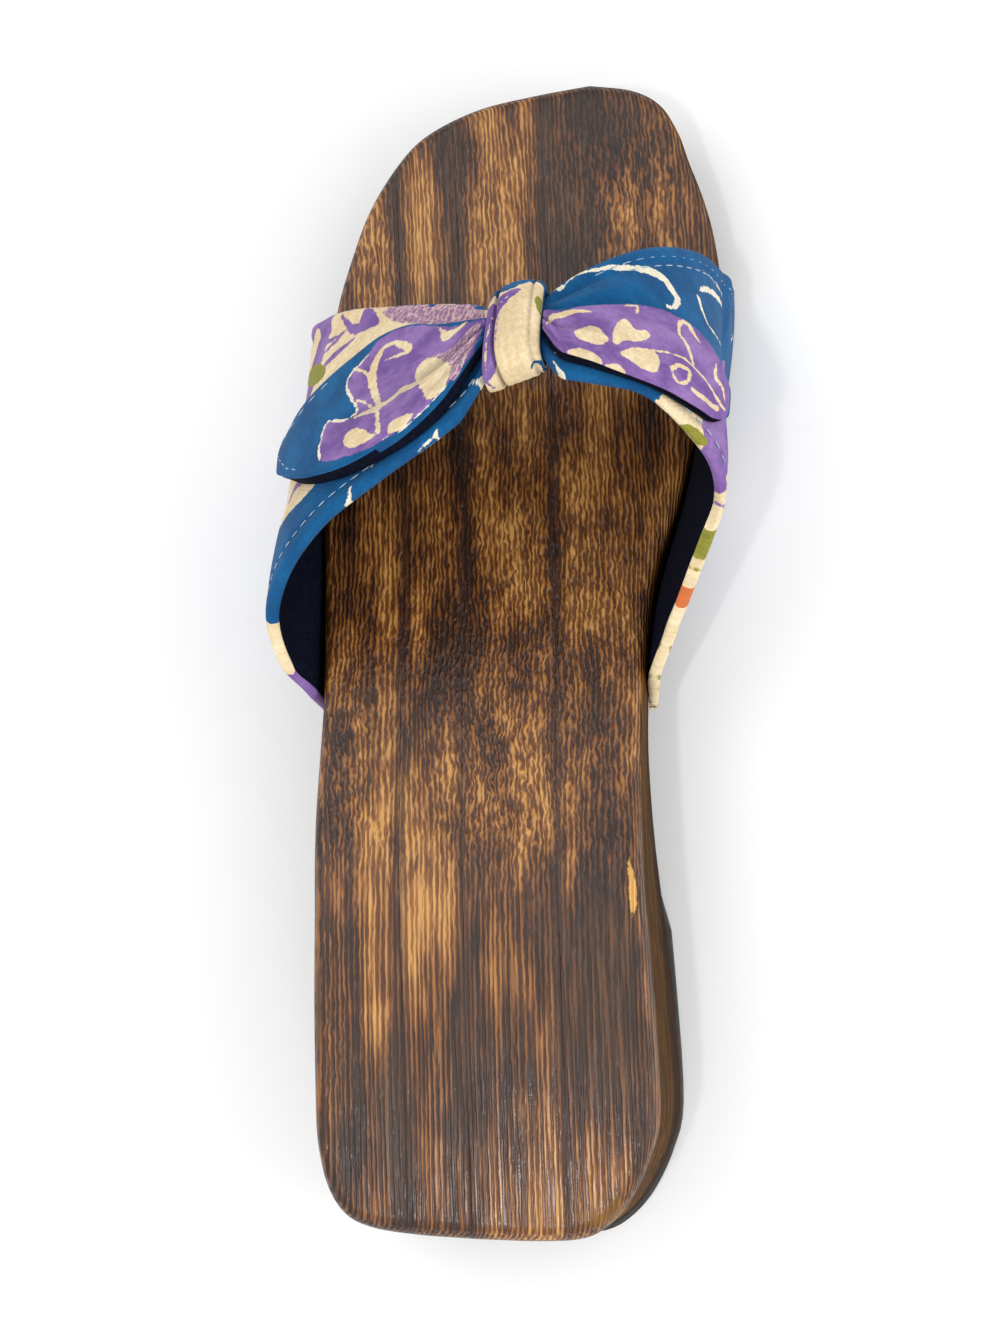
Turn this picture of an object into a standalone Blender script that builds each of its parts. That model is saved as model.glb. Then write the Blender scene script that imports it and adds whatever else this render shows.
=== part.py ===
"""Geta mule for the left foot: a wedge sole of glued boards under one tied cloth band.

Metres. +Y points to the toe, +X to the big-toe side and +Z up. The origin lies on the floor,
at the middle of the flat that the heel rests on. Lengths along the foot are counted from the
back of the heel, and every piece is moved back by HEEL_REST to bring the origin there.
"""
import math

import bmesh
import bpy
import numpy as np

# Sole
SOLE_LENGTH = 0.240
HEEL_WIDTH = 0.0685
BALL_WIDTH = 0.0820
HEEL_HEIGHT = 0.0450
BALL_HEIGHT = 0.0225
TOE_RISE = 0.0040
ARCH_HEIGHT = 0.0196
TOE_SPRING = 0.0080
EDGE_ROUND = 0.0025
BOTTOM_CHAMFER = 0.0008
HEEL_FLARE = 0.0018
BOARD_GAP = 0.0003
JOINT_LEAN = -0.0705
HEEL_REST = 0.0300

# Rubber under the sole
HEEL_TREAD = 0.0060
FOREFOOT_TREAD = 0.0040
HEEL_TREAD_LENGTH = 0.068
FOREFOOT_TREAD_START = 0.148
TOE_SETBACK = 0.009
TREAD_LIP = 0.0003
TREAD_INSET = 0.0020
TREAD_CHAMFER = 0.0008

# Cloth band and its tie
BAND_CROWN = 0.0715
BAND_WALL = 0.0025
BAND_BULGE = 0.0030
PINCH_REAR = 0.0064
PINCH_FRONT = 0.0020
PLEAT_DEPTH = 0.0007
KNOT_WALL = 0.0024
KNOT_CROWN = 0.0022
TAIL_THICKNESS = 0.0017
TAIL_LIFT = 0.0005
TAIL_CURL = 0.0040
LATERAL_TIP_LIFT = 0.0022
MEDIAL_TIP_LIFT = 0.0004
FIT_GAP = 0.0003

# Facets
SOLE_STATIONS = 72
HEEL_STATIONS = 34
FOREFOOT_STATIONS = 28
ROUND_STEPS = 3
BAND_SIDE_STATIONS = 22
BAND_KNOT_STATIONS = 25
BAND_ALONG = 12
KNOT_ACROSS = 8
KNOT_AROUND = 32
TAIL_STATIONS = 26
TAIL_ACROSS = 8

# Outline of the sole, from the middle of the heel's back to the tip of the toe. The first and
# third columns are shares of the length, the second and fourth shares of the local width.
# Columns: lateral_along, lateral_out, medial_along, medial_out.
OUTLINE = (
    (0.000, 0.000, 0.000, 0.000),
    (0.001, 0.175, 0.001, 0.175),
    (0.005, 0.307, 0.005, 0.299),
    (0.015, 0.387, 0.016, 0.368),
    (0.037, 0.442, 0.037, 0.428),
    (0.071, 0.476, 0.071, 0.480),
    (0.113, 0.491, 0.113, 0.504),
    (0.221, 0.514, 0.221, 0.467),
    (0.333, 0.526, 0.333, 0.418),
    (0.450, 0.500, 0.454, 0.374),
    (0.550, 0.501, 0.550, 0.367),
    (0.633, 0.513, 0.633, 0.416),
    (0.729, 0.512, 0.729, 0.470),
    (0.796, 0.507, 0.796, 0.488),
    (0.854, 0.466, 0.854, 0.482),
    (0.896, 0.420, 0.896, 0.450),
    (0.934, 0.349, 0.933, 0.406),
    (0.958, 0.274, 0.958, 0.377),
    (0.979, 0.146, 0.982, 0.329),
    (0.991, 0.000, 0.995, 0.256),
    (1.000, -0.146, 1.000, 0.146),
)

# Side of the sole. Each row is at a share of the length: the top's share of the drop from heel
# to ball and of the toe's rise, then the bottom's share of the arch and of the toe spring.
# Columns: along, wedge, toe_rise, arch, spring.
PROFILE = (
    (0.00, 1.000, 0.00, 0.00, 0.00),
    (0.14, 0.995, 0.00, 0.00, 0.00),
    (0.28, 0.950, 0.00, 0.00, 0.00),
    (0.36, 0.800, 0.00, 0.55, 0.00),
    (0.44, 0.620, 0.00, 1.00, 0.00),
    (0.48, 0.500, 0.00, 0.96, 0.00),
    (0.56, 0.250, 0.00, 0.40, 0.00),
    (0.62, 0.130, 0.00, 0.00, 0.00),
    (0.72, 0.000, 0.00, 0.00, 0.00),
    (0.81, 0.000, 0.00, 0.00, 0.00),
    (0.90, 0.000, 0.30, 0.00, 0.32),
    (1.00, 0.000, 1.00, 0.00, 1.00),
)

# Glue lines between the boards: where each crosses the middle of the length, as a share of
# the ball width, counted from the little-toe side.
GLUE_LINES = (-0.270, -0.115, 0.118)

# The band, from its little-toe hem to its big-toe hem: the heel-side edge and then the
# toe-side edge, each as shares of half the ball width, the sole's length and the crown's height.
# Columns: rear_out, rear_along, rear_up, front_out, front_along, front_up, bulge.
BAND = (
    (-0.990, 0.434, 0.290, -1.090, 0.785, 0.080, 0.00),
    (-0.960, 0.444, 0.462, -1.137, 0.785, 0.266, 0.40),
    (-1.040, 0.463, 0.538, -1.112, 0.783, 0.343, 0.70),
    (-1.083, 0.490, 0.629, -1.032, 0.782, 0.420, 0.75),
    (-1.059, 0.512, 0.706, -0.939, 0.781, 0.503, 0.75),
    (-0.959, 0.540, 0.797, -0.805, 0.778, 0.594, 0.80),
    (-0.768, 0.573, 0.881, -0.634, 0.773, 0.676, 0.80),
    (-0.500, 0.605, 0.955, -0.429, 0.770, 0.741, 0.60),
    (-0.232, 0.640, 0.997, -0.207, 0.767, 0.783, 0.25),
    (-0.024, 0.675, 0.996, -0.037, 0.765, 0.801, 0.00),
    (0.122, 0.689, 0.990, 0.110, 0.769, 0.808, 0.00),
    (0.268, 0.692, 0.990, 0.244, 0.779, 0.811, 0.00),
    (0.512, 0.683, 0.993, 0.415, 0.796, 0.808, 0.30),
    (0.720, 0.671, 0.983, 0.595, 0.812, 0.772, 0.75),
    (0.895, 0.646, 0.927, 0.744, 0.823, 0.697, 1.00),
    (1.000, 0.624, 0.853, 0.866, 0.829, 0.599, 1.10),
    (1.029, 0.596, 0.783, 0.939, 0.831, 0.510, 1.10),
    (0.983, 0.565, 0.720, 0.995, 0.829, 0.420, 0.95),
    (0.890, 0.525, 0.629, 1.024, 0.828, 0.336, 0.60),
    (0.815, 0.496, 0.552, 1.049, 0.828, 0.252, 0.30),
    (0.766, 0.467, 0.448, 1.059, 0.828, 0.168, 0.10),
    (0.764, 0.446, 0.290, 1.050, 0.828, 0.080, 0.00),
)
HEM_ROWS = 1.0
LOW_ROWS = 5.0
KNOT_MIDDLE = 9.85
KNOT_REACH = 0.84

# Tails of the tie, from the knot to the tip: the band's row under the station, the shares of
# the way from the band's heel edge to its toe edge where the tail's two edges lie, and the
# share of the curl by which the heel-side edge stands up.
# Columns: row, heel_edge, toe_edge, curl.
TAIL_LATERAL = (
    (8.90, 0.36, 0.74, 0.25),
    (8.45, 0.24, 0.76, 0.60),
    (8.10, 0.13, 0.77, 0.90),
    (7.60, 0.08, 0.79, 1.00),
    (7.10, 0.08, 0.82, 1.00),
    (6.50, 0.11, 0.79, 0.90),
    (5.95, 0.17, 0.71, 0.70),
    (5.45, 0.24, 0.65, 0.45),
    (4.95, 0.31, 0.60, 0.25),
    (4.55, 0.365, 0.565, 0.15),
    (4.25, 0.42, 0.53, 0.10),
)
TAIL_MEDIAL = (
    (10.85, 0.22, 0.58, 0.20),
    (11.30, 0.11, 0.585, 0.30),
    (11.90, 0.07, 0.575, 0.35),
    (12.50, 0.05, 0.565, 0.30),
    (13.00, 0.05, 0.56, 0.25),
    (13.50, 0.07, 0.56, 0.20),
    (14.00, 0.095, 0.545, 0.15),
    (14.40, 0.11, 0.52, 0.10),
    (14.75, 0.15, 0.48, 0.10),
    (15.00, 0.20, 0.44, 0.10),
    (15.15, 0.27, 0.39, 0.10),
)

# Finishes: colour, roughness and metallic value
WOOD = ("burnt_wood", (0.16, 0.075, 0.032), 0.35, 0.0)
PRINT = ("print_cotton", (0.03, 0.13, 0.29), 0.85, 0.0)
RUBBER = ("tread_rubber", (0.03, 0.028, 0.026), 0.8, 0.0)


def smooth_step(low, high, value):
    share = min(max((value - low) / (high - low), 0.0), 1.0)
    return share * share * (3.0 - 2.0 * share)


def table_at(table, position):
    """Row of a table at a fractional row number, on a smooth curve through its rows."""
    last = len(table) - 1
    row = min(int(position), last - 1)
    share = position - row
    before, start, end, after = (np.array(table[min(max(i, 0), last)]) for i in range(row - 1, row + 3))
    slope_in = (end - before) / 2.0 if row > 0 else end - start
    slope_out = (after - start) / 2.0 if row + 2 <= last else end - start
    square = share * share
    cube = square * share
    return ((2.0 * cube - 3.0 * square + 1.0) * start + (cube - 2.0 * square + share) * slope_in
            + (3.0 * square - 2.0 * cube) * end + (cube - square) * slope_out)


def profile_at(along):
    """Wedge, toe rise, arch and spring shares at a share of the length, without overshoot."""
    rows = np.array(PROFILE)
    steps = np.diff(rows[:, 0])
    slopes = np.diff(rows[:, 1:], axis=0) / steps[:, None]
    along = min(max(along, 0.0), 1.0)
    row = min(int(np.searchsorted(rows[:, 0], along, side="right")) - 1, len(steps) - 1)

    def tangent(index):
        if index == 0 or index == len(steps):
            return np.zeros(rows.shape[1] - 1)
        left, right = slopes[index - 1], slopes[index]
        together = left * right > 0.0
        total = np.where(together, left + right, 1.0)
        return np.where(together, 2.0 * left * right / total, 0.0)

    share = (along - rows[row, 0]) / steps[row]
    square = share * share
    cube = square * share
    return ((2.0 * cube - 3.0 * square + 1.0) * rows[row, 1:]
            + (cube - 2.0 * square + share) * steps[row] * tangent(row)
            + (3.0 * square - 2.0 * cube) * rows[row + 1, 1:]
            + (cube - square) * steps[row] * tangent(row + 1))


def top_height(y):
    wedge, toe_rise, _, _ = profile_at(y / SOLE_LENGTH)
    return BALL_HEIGHT + (HEEL_HEIGHT - BALL_HEIGHT) * wedge + TOE_RISE * toe_rise


def bottom_height(y):
    """Underside of the wood: on its two treads, hollow at the arch and sprung at the toe."""
    _, _, arch, spring = profile_at(y / SOLE_LENGTH)
    tread = HEEL_TREAD + (FOREFOOT_TREAD - HEEL_TREAD) * smooth_step(0.40, 0.50, y / SOLE_LENGTH)
    seat = tread + FIT_GAP
    return seat + (ARCH_HEIGHT - seat) * arch + TOE_SPRING * spring


def local_width(along):
    return HEEL_WIDTH + (BALL_WIDTH - HEEL_WIDTH) * smooth_step(0.25, 0.65, along)


def outline_pair(position):
    """Points of the little-toe and big-toe sides of the outline at a fractional row."""
    lateral_along, lateral_out, medial_along, medial_out = table_at(OUTLINE, position)
    lateral = (-lateral_out * local_width(lateral_along), lateral_along * SOLE_LENGTH)
    medial = (medial_out * local_width(medial_along), medial_along * SOLE_LENGTH)
    return np.array(lateral), np.array(medial)


def outline_row(y, column):
    """Fractional row at which one side of the outline, 0 lateral or 1 medial, passes y."""
    low, high = 0.0, len(OUTLINE) - 1.0
    for _ in range(40):
        middle = (low + high) / 2.0
        if outline_pair(middle)[column][1] < y:
            low = middle
        else:
            high = middle
    return low


def ring_of_outline(first, last, count):
    """Closed ring up the big-toe side and down the little-toe side, between two table rows."""
    pairs = [outline_pair(first + (last - first) * i / (count - 1)) for i in range(count)]
    medial = [pair[1] for pair in pairs]
    lateral = [pair[0] for pair in reversed(pairs)]
    if first == 0.0:
        lateral = lateral[:-1]
    if last == len(OUTLINE) - 1:
        lateral = lateral[1:]
    return np.array(medial + lateral)


def outward_normals(ring):
    tangent = np.roll(ring, -1, axis=0) - np.roll(ring, 1, axis=0)
    normal = np.stack([tangent[:, 1], -tangent[:, 0]], axis=1)
    return normal / np.linalg.norm(normal, axis=1)[:, None]


def wall_point(side, y, distance):
    """Point at a distance outside the sole's side wall; side is -1 lateral and +1 medial."""
    column = 1 if side > 0 else 0
    row = outline_row(y, column)
    step = 0.05
    point = outline_pair(row)[column]
    ahead = outline_pair(row + step)[column] - outline_pair(row - step)[column]
    normal = side * np.array([ahead[1], -ahead[0]]) / np.linalg.norm(ahead)
    return point + normal * distance


def new_object(name, verts, faces, finish, smooth_angle):
    mesh = bpy.data.meshes.new(name)
    mesh.from_pydata([tuple(float(c) for c in vert) for vert in verts], [], faces)
    body = bmesh.new()
    body.from_mesh(mesh)
    bmesh.ops.recalc_face_normals(body, faces=body.faces)
    body.to_mesh(mesh)
    body.free()
    mesh.shade_smooth()
    mesh.set_sharp_from_angle(angle=math.radians(smooth_angle))
    mesh.materials.append(material_of(finish))
    piece = bpy.data.objects.new(name, mesh)
    piece.location = (0.0, -HEEL_REST, 0.0)
    bpy.context.scene.collection.objects.link(piece)
    return piece


def material_of(finish):
    name, colour, roughness, metallic = finish
    if name in bpy.data.materials:
        return bpy.data.materials[name]
    material = bpy.data.materials.new(name)
    material.use_nodes = True
    shader = material.node_tree.nodes["Principled BSDF"]
    shader.inputs["Base Color"].default_value = (*colour, 1.0)
    shader.inputs["Roughness"].default_value = roughness
    shader.inputs["Metallic"].default_value = metallic
    return material


def plate(ring, rings, across):
    """Vertices and faces of a plate from stacked rings, bottom to top.

    Each ring is (outward move, height function). The caps are ladders of rungs between the
    two sides, so that they follow the height along the foot; across counts the ring's points
    on the big-toe side, from which the rungs start.
    """
    count = len(ring)
    normals = outward_normals(ring)
    verts = []
    for move, height in rings:
        for point, normal in zip(ring, normals):
            x, y = point + normal * move
            verts.append((x, y, height(y)))
    faces = []
    for level in range(len(rings) - 1):
        base = level * count
        for i in range(count):
            ahead = (i + 1) % count
            faces.append((base + i, base + ahead, base + count + ahead, base + count + i))
    mates = [(count - i) % count for i in range(across)]
    if across * 2 == count:
        mates = [count - 1 - i for i in range(across)]
    for base in (0, (len(rings) - 1) * count):
        for i in range(across - 1):
            corners = (i, i + 1, mates[i + 1], mates[i])
            faces.append(tuple(base + c for c in dict.fromkeys(corners)))
    return verts, faces


def build_sole_form():
    """The wooden sole in one piece, before it is divided into its boards."""
    ring = ring_of_outline(0.0, len(OUTLINE) - 1, SOLE_STATIONS)

    def flare(y):
        return HEEL_FLARE * (1.0 - smooth_step(0.20, 0.42, y / SOLE_LENGTH))

    steps = [(0.0, EDGE_ROUND)]
    for i in range(1, ROUND_STEPS + 1):
        angle = math.pi / 2.0 * i / ROUND_STEPS
        steps.append((EDGE_ROUND * (1.0 - math.cos(angle)), EDGE_ROUND * (1.0 - math.sin(angle))))
    rings = [(-BOTTOM_CHAMFER, bottom_height), (0.0, lambda y: bottom_height(y) + BOTTOM_CHAMFER)]
    for inset, drop in steps:
        rings.append((-inset, lambda y, drop=drop: top_height(y) - drop))
    verts, faces = plate(ring, rings, SOLE_STATIONS)
    flared = []
    for x, y, z in verts:
        height_share = (top_height(y) - z) / (top_height(y) - bottom_height(y))
        reach = 1.0 + 2.0 * flare(y) * height_share / local_width(y / SOLE_LENGTH)
        flared.append((x * reach, y, z))
    return flared, faces


def build_boards():
    """Boards between glue lines, cut from the sole's form with a thin gap at each line."""
    verts, faces = build_sole_form()
    reach = SOLE_LENGTH
    edges = [-reach, *[line * BALL_WIDTH for line in GLUE_LINES], reach]
    for number in range(len(edges) - 1):
        low = edges[number] + BOARD_GAP / 2.0
        high = edges[number + 1] - BOARD_GAP / 2.0
        board = new_object("board_%d" % (number + 1), verts, faces, WOOD, 35.0)
        corners = []
        for z in (-HEEL_HEIGHT, 2.0 * HEEL_HEIGHT):
            for x, y in ((low, -1.0), (high, -1.0), (high, 1.0), (low, 1.0)):
                corners.append((x + JOINT_LEAN * y * reach, (0.5 + y) * SOLE_LENGTH, z))
        sides = [(0, 3, 2, 1), (4, 5, 6, 7), (0, 1, 5, 4), (1, 2, 6, 5), (2, 3, 7, 6), (3, 0, 4, 7)]
        slab = new_object("slab_%d" % (number + 1), corners, sides, WOOD, 35.0)
        slab.hide_render = True
        slab.display_type = "WIRE"
        cut = board.modifiers.new("board_cut", "BOOLEAN")
        cut.operation = "INTERSECT"
        cut.solver = "EXACT"
        cut.object = slab


def build_tread(name, first, last, stations, lip, underside):
    """Rubber plate under the wood between two rows of the outline."""
    ring = ring_of_outline(first, last, stations)

    def upper_face(y):
        return bottom_height(y) - FIT_GAP

    rings = [
        (lip - TREAD_CHAMFER, underside),
        (lip, lambda y: underside(y) + TREAD_CHAMFER),
        (lip, lambda y: upper_face(y) - TREAD_CHAMFER),
        (lip - TREAD_CHAMFER, upper_face),
    ]
    verts, faces = plate(ring, rings, stations)
    return new_object(name, verts, faces, RUBBER, 35.0)


def build_treads():
    def flat(y):
        return 0.0

    def sprung(y):
        return bottom_height(y) - FIT_GAP - FOREFOOT_TREAD

    heel_end = outline_row(HEEL_TREAD_LENGTH, 0)
    start = outline_row(FOREFOOT_TREAD_START, 0)
    end = outline_row(SOLE_LENGTH - TOE_SETBACK, 0)
    build_tread("heel_tread", 0.0, heel_end, HEEL_STATIONS, HEEL_FLARE + TREAD_LIP, flat)
    build_tread("forefoot_tread", start, end, FOREFOOT_STATIONS, -TREAD_INSET, sprung)


def band_edges(row):
    """Heel-side and toe-side points of the band's outer face at a fractional row."""
    rear_out, rear_along, rear_up, front_out, front_along, front_up, bulge = table_at(BAND, row)
    half = BALL_WIDTH / 2.0
    rear = np.array([rear_out * half, rear_along * SOLE_LENGTH, rear_up * BAND_CROWN])
    front = np.array([front_out * half, front_along * SOLE_LENGTH, front_up * BAND_CROWN])
    return rear, front, bulge


def band_outer(row, across):
    """Point of the band's outer face; across runs from the heel edge, 0, to the toe edge, 1."""
    rear, front, bulge = band_edges(row)
    lengthwise = (front - rear) / np.linalg.norm(front - rear)
    pinch = 1.0 - smooth_step(0.95 * KNOT_REACH, 1.8 * KNOT_REACH, abs(row - KNOT_MIDDLE))
    rear = rear + lengthwise * (PINCH_REAR * pinch)
    front = front - lengthwise * (PINCH_FRONT * pinch)
    point = rear + (front - rear) * across
    away = np.array([point[0], 0.0, point[2] - BALL_HEIGHT])
    away /= np.linalg.norm(away)
    edge_turn = BAND_WALL * abs(away[0]) * (1.0 - across) ** 2.0
    swell = BAND_BULGE * bulge * math.sin(math.pi * across ** 0.5)
    point = point + away * (edge_turn + swell)
    last = len(BAND) - 1
    side = -1 if row < last / 2.0 else 1
    rows_up = min(row, last - row)
    if rows_up < LOW_ROWS:
        wall = wall_point(side, point[1], 1.5 * FIT_GAP + BAND_WALL)
        hold = 1.0 - smooth_step(0.0, HEM_ROWS + 1.0, rows_up)
        hem = bottom_height(point[1]) + BOTTOM_CHAMFER
        drop = 1.0 - smooth_step(0.0, HEM_ROWS, rows_up)
        point[0] += (wall[0] - point[0]) * hold
        point[2] += (hem - point[2]) * drop
        top = top_height(point[1])
        beside = 1.0 - smooth_step(top, top + 2.0 * BAND_WALL, point[2])
        point[0] += side * max(side * (wall[0] - point[0]), 0.0) * beside
    return point


def band_normal(row, across):
    step = 0.04
    last = len(BAND) - 1
    along_row = band_outer(min(row + step, last), across) - band_outer(max(row - step, 0.0), across)
    along_foot = band_outer(row, min(across + step, 1.0)) - band_outer(row, max(across - step, 0.0))
    normal = np.cross(along_row, along_foot)
    return normal / np.linalg.norm(normal)


def pleat_depth(row):
    """Depth of the gathers, greatest just beside the knot and gone inside it."""
    reach = abs(row - KNOT_MIDDLE)
    return PLEAT_DEPTH * smooth_step(0.0, 1.6, reach) * (1.0 - smooth_step(1.6, 4.5, reach))


def pleat(row, across):
    """Radiating gathers beside the knot, as a move of the cloth along its normal."""
    return pleat_depth(row) * math.sin(math.pi * across) * math.sin(6.0 * math.pi * across)


def sheet_solid(outer, inner, columns):
    """Closed wall between two point grids of equal size, columns points to each row."""
    verts = list(outer) + list(inner)
    offset = len(outer)
    rows = offset // columns
    faces = []
    for i in range(rows - 1):
        for j in range(columns - 1):
            a = i * columns + j
            faces.append((a, a + 1, a + columns + 1, a + columns))
            faces.append((offset + a, offset + a + columns, offset + a + columns + 1, offset + a + 1))
    border = [j for j in range(columns)]
    border += [i * columns + columns - 1 for i in range(1, rows)]
    border += [(rows - 1) * columns + j for j in range(columns - 2, -1, -1)]
    border += [i * columns for i in range(rows - 2, 0, -1)]
    for here, ahead in zip(border, border[1:] + border[:1]):
        faces.append((here, offset + here, offset + ahead, ahead))
    return verts, faces


def band_stations():
    """Fractional rows of the band's stations, closer together at the gather."""
    low = KNOT_MIDDLE - 2.0 * KNOT_REACH
    high = KNOT_MIDDLE + 2.0 * KNOT_REACH
    lateral = np.linspace(0.0, low, BAND_SIDE_STATIONS)
    gather = np.linspace(low, high, BAND_KNOT_STATIONS)
    medial = np.linspace(high, len(BAND) - 1.0, BAND_SIDE_STATIONS)
    return [*lateral[:-1], *gather, *medial[1:]]


def build_band():
    outer = []
    inner = []
    for row in band_stations():
        for j in range(BAND_ALONG + 1):
            across = j / BAND_ALONG
            normal = band_normal(row, across)
            point = band_outer(row, across) + normal * pleat(row, across)
            outer.append(point)
            inner.append(point - normal * BAND_WALL)
    verts, faces = sheet_solid(outer, inner, BAND_ALONG + 1)
    return new_object("band", verts, faces, PRINT, 60.0)


def build_knot():
    """Wrap around the gathered middle of the band, open where the band passes through."""
    inner_rings = []
    outer_rings = []
    for i in range(KNOT_ACROSS + 1):
        share = i / KNOT_ACROSS
        row = KNOT_MIDDLE + KNOT_REACH * (2.0 * share - 1.0)
        rear = band_outer(row, 0.0)
        front = band_outer(row, 1.0)
        normal = band_normal(row, 0.5)
        middle = (rear + front) / 2.0 - normal * (BAND_WALL / 2.0)
        half_length = np.linalg.norm(front - rear) / 2.0
        lengthwise = (front - rear) / np.linalg.norm(front - rear)
        swell = KNOT_CROWN * math.sin(math.pi * share)
        for turn in range(KNOT_AROUND):
            angle = 2.0 * math.pi * turn / KNOT_AROUND
            reach = math.copysign(abs(math.cos(angle)) ** 0.5, math.cos(angle))
            rise = math.copysign(abs(math.sin(angle)) ** 0.5, math.sin(angle))
            inside = (reach * (half_length + 3.0 * FIT_GAP), rise * (BAND_WALL / 2.0 + 4.5 * FIT_GAP))
            wall = KNOT_WALL + swell * (0.5 + 0.5 * math.sin(angle))
            outside = (inside[0] + wall * math.cos(angle), inside[1] + wall * math.sin(angle))
            inner_rings.append(middle + lengthwise * inside[0] + normal * inside[1])
            outer_rings.append(middle + lengthwise * outside[0] + normal * outside[1])
    count = KNOT_AROUND
    offset = len(outer_rings)
    faces = []
    for i in range(KNOT_ACROSS):
        for turn in range(count):
            ahead = (turn + 1) % count
            here = i * count
            faces.append((here + turn, here + ahead, here + count + ahead, here + count + turn))
            inner_face = (here + turn, here + count + turn, here + count + ahead, here + ahead)
            faces.append(tuple(offset + corner for corner in inner_face))
    for here in (0, KNOT_ACROSS * count):
        for turn in range(count):
            ahead = (turn + 1) % count
            faces.append((here + turn, here + ahead, offset + here + ahead, offset + here + turn))
    return new_object("tie_knot", outer_rings + inner_rings, faces, PRINT, 60.0)


def build_tail(name, table, tip_lift):
    upper = []
    under = []
    last = len(table) - 1
    for i in range(TAIL_STATIONS + 1):
        share = i / TAIL_STATIONS
        row, heel_edge, toe_edge, curl = table_at(table, last * share)
        stand = tip_lift * smooth_step(0.55, 1.0, share)
        for j in range(TAIL_ACROSS + 1):
            width_share = j / TAIL_ACROSS
            across = heel_edge + (toe_edge - heel_edge) * width_share
            normal = band_normal(row, across)
            crown = math.sin(math.pi * width_share)
            lift = TAIL_LIFT + pleat_depth(row) + stand
            lift += TAIL_CURL * curl * (1.0 - width_share) ** 1.5
            thickness = TAIL_THICKNESS * (0.7 + 0.3 * crown)
            base = band_outer(row, across)
            under.append(base + normal * lift)
            upper.append(base + normal * (lift + thickness))
    verts, faces = sheet_solid(upper, under, TAIL_ACROSS + 1)
    return new_object(name, verts, faces, PRINT, 60.0)


def main():
    for piece in list(bpy.data.objects):
        bpy.data.objects.remove(piece)
    build_boards()
    build_treads()
    build_band()
    build_knot()
    build_tail("tie_tail_lateral", TAIL_LATERAL, LATERAL_TIP_LIFT)
    build_tail("tie_tail_medial", TAIL_MEDIAL, MEDIAL_TIP_LIFT)


if __name__ == "__main__":
    main()
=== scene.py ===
"""Geta mule for the left foot: burnt wood sole, tied band of printed cotton and rubber treads.

Metres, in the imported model's frame. Lengths along the foot are counted from the back of the
heel while a piece is shaped, and moved back by HEEL_REST when its mesh is made.
"""

import math

import bmesh
import bpy
import numpy as np
from mathutils import Matrix, Vector


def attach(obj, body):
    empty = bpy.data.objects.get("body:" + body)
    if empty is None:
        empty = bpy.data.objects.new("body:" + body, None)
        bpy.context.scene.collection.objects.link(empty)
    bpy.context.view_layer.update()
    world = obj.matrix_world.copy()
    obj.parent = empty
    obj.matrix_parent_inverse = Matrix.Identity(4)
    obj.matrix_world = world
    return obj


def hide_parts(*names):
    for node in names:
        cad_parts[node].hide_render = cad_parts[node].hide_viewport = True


bl_info = {
    "name": "Geta mule",
    "version": (1, 0, 0),
    "blender": (4, 5, 0),
    "location": "View3D > Sidebar > Geta",
    "description": "Builds a wooden geta mule with a tied cloth band",
    "category": "Add Mesh",
}

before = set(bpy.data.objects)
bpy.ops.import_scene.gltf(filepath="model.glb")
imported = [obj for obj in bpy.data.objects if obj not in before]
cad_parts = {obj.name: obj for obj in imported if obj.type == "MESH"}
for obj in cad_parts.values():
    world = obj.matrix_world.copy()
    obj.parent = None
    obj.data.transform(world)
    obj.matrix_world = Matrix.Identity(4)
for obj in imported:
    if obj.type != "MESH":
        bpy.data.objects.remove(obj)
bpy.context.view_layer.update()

# Sizes repeated from the part's source
SOLE_LENGTH = 0.240
HEEL_WIDTH = 0.0685
BALL_WIDTH = 0.0820
HEEL_HEIGHT = 0.0450
BALL_HEIGHT = 0.0225
TOE_RISE = 0.0040
ARCH_HEIGHT = 0.0196
TOE_SPRING = 0.0080
EDGE_ROUND = 0.0025
BOTTOM_CHAMFER = 0.0008
HEEL_FLARE = 0.0018
JOINT_LEAN = -0.0705
HEEL_REST = 0.0300
HEEL_TREAD = 0.0060
FOREFOOT_TREAD = 0.0040
BAND_CROWN = 0.0715
BAND_WALL = 0.0025
BAND_BULGE = 0.0030
PINCH_REAR = 0.0064
PINCH_FRONT = 0.0020
PLEAT_DEPTH = 0.0007
KNOT_WALL = 0.0024
KNOT_CROWN = 0.0022
TAIL_THICKNESS = 0.0017
TAIL_LIFT = 0.0005
TAIL_CURL = 0.0040
LATERAL_TIP_LIFT = 0.0022
MEDIAL_TIP_LIFT = 0.0004
FIT_GAP = 0.0003

# Outline of the sole: lateral_along, lateral_out, medial_along, medial_out
OUTLINE = np.array((
    (0.000, 0.000, 0.000, 0.000),
    (0.001, 0.175, 0.001, 0.175),
    (0.005, 0.307, 0.005, 0.299),
    (0.015, 0.387, 0.016, 0.368),
    (0.037, 0.442, 0.037, 0.428),
    (0.071, 0.476, 0.071, 0.480),
    (0.113, 0.491, 0.113, 0.504),
    (0.221, 0.514, 0.221, 0.467),
    (0.333, 0.526, 0.333, 0.418),
    (0.450, 0.500, 0.454, 0.374),
    (0.550, 0.501, 0.550, 0.367),
    (0.633, 0.513, 0.633, 0.416),
    (0.729, 0.512, 0.729, 0.470),
    (0.796, 0.507, 0.796, 0.488),
    (0.854, 0.466, 0.854, 0.482),
    (0.896, 0.420, 0.896, 0.450),
    (0.934, 0.349, 0.933, 0.406),
    (0.958, 0.274, 0.958, 0.377),
    (0.979, 0.146, 0.982, 0.329),
    (0.991, 0.000, 0.995, 0.256),
    (1.000, -0.146, 1.000, 0.146),
))

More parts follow.
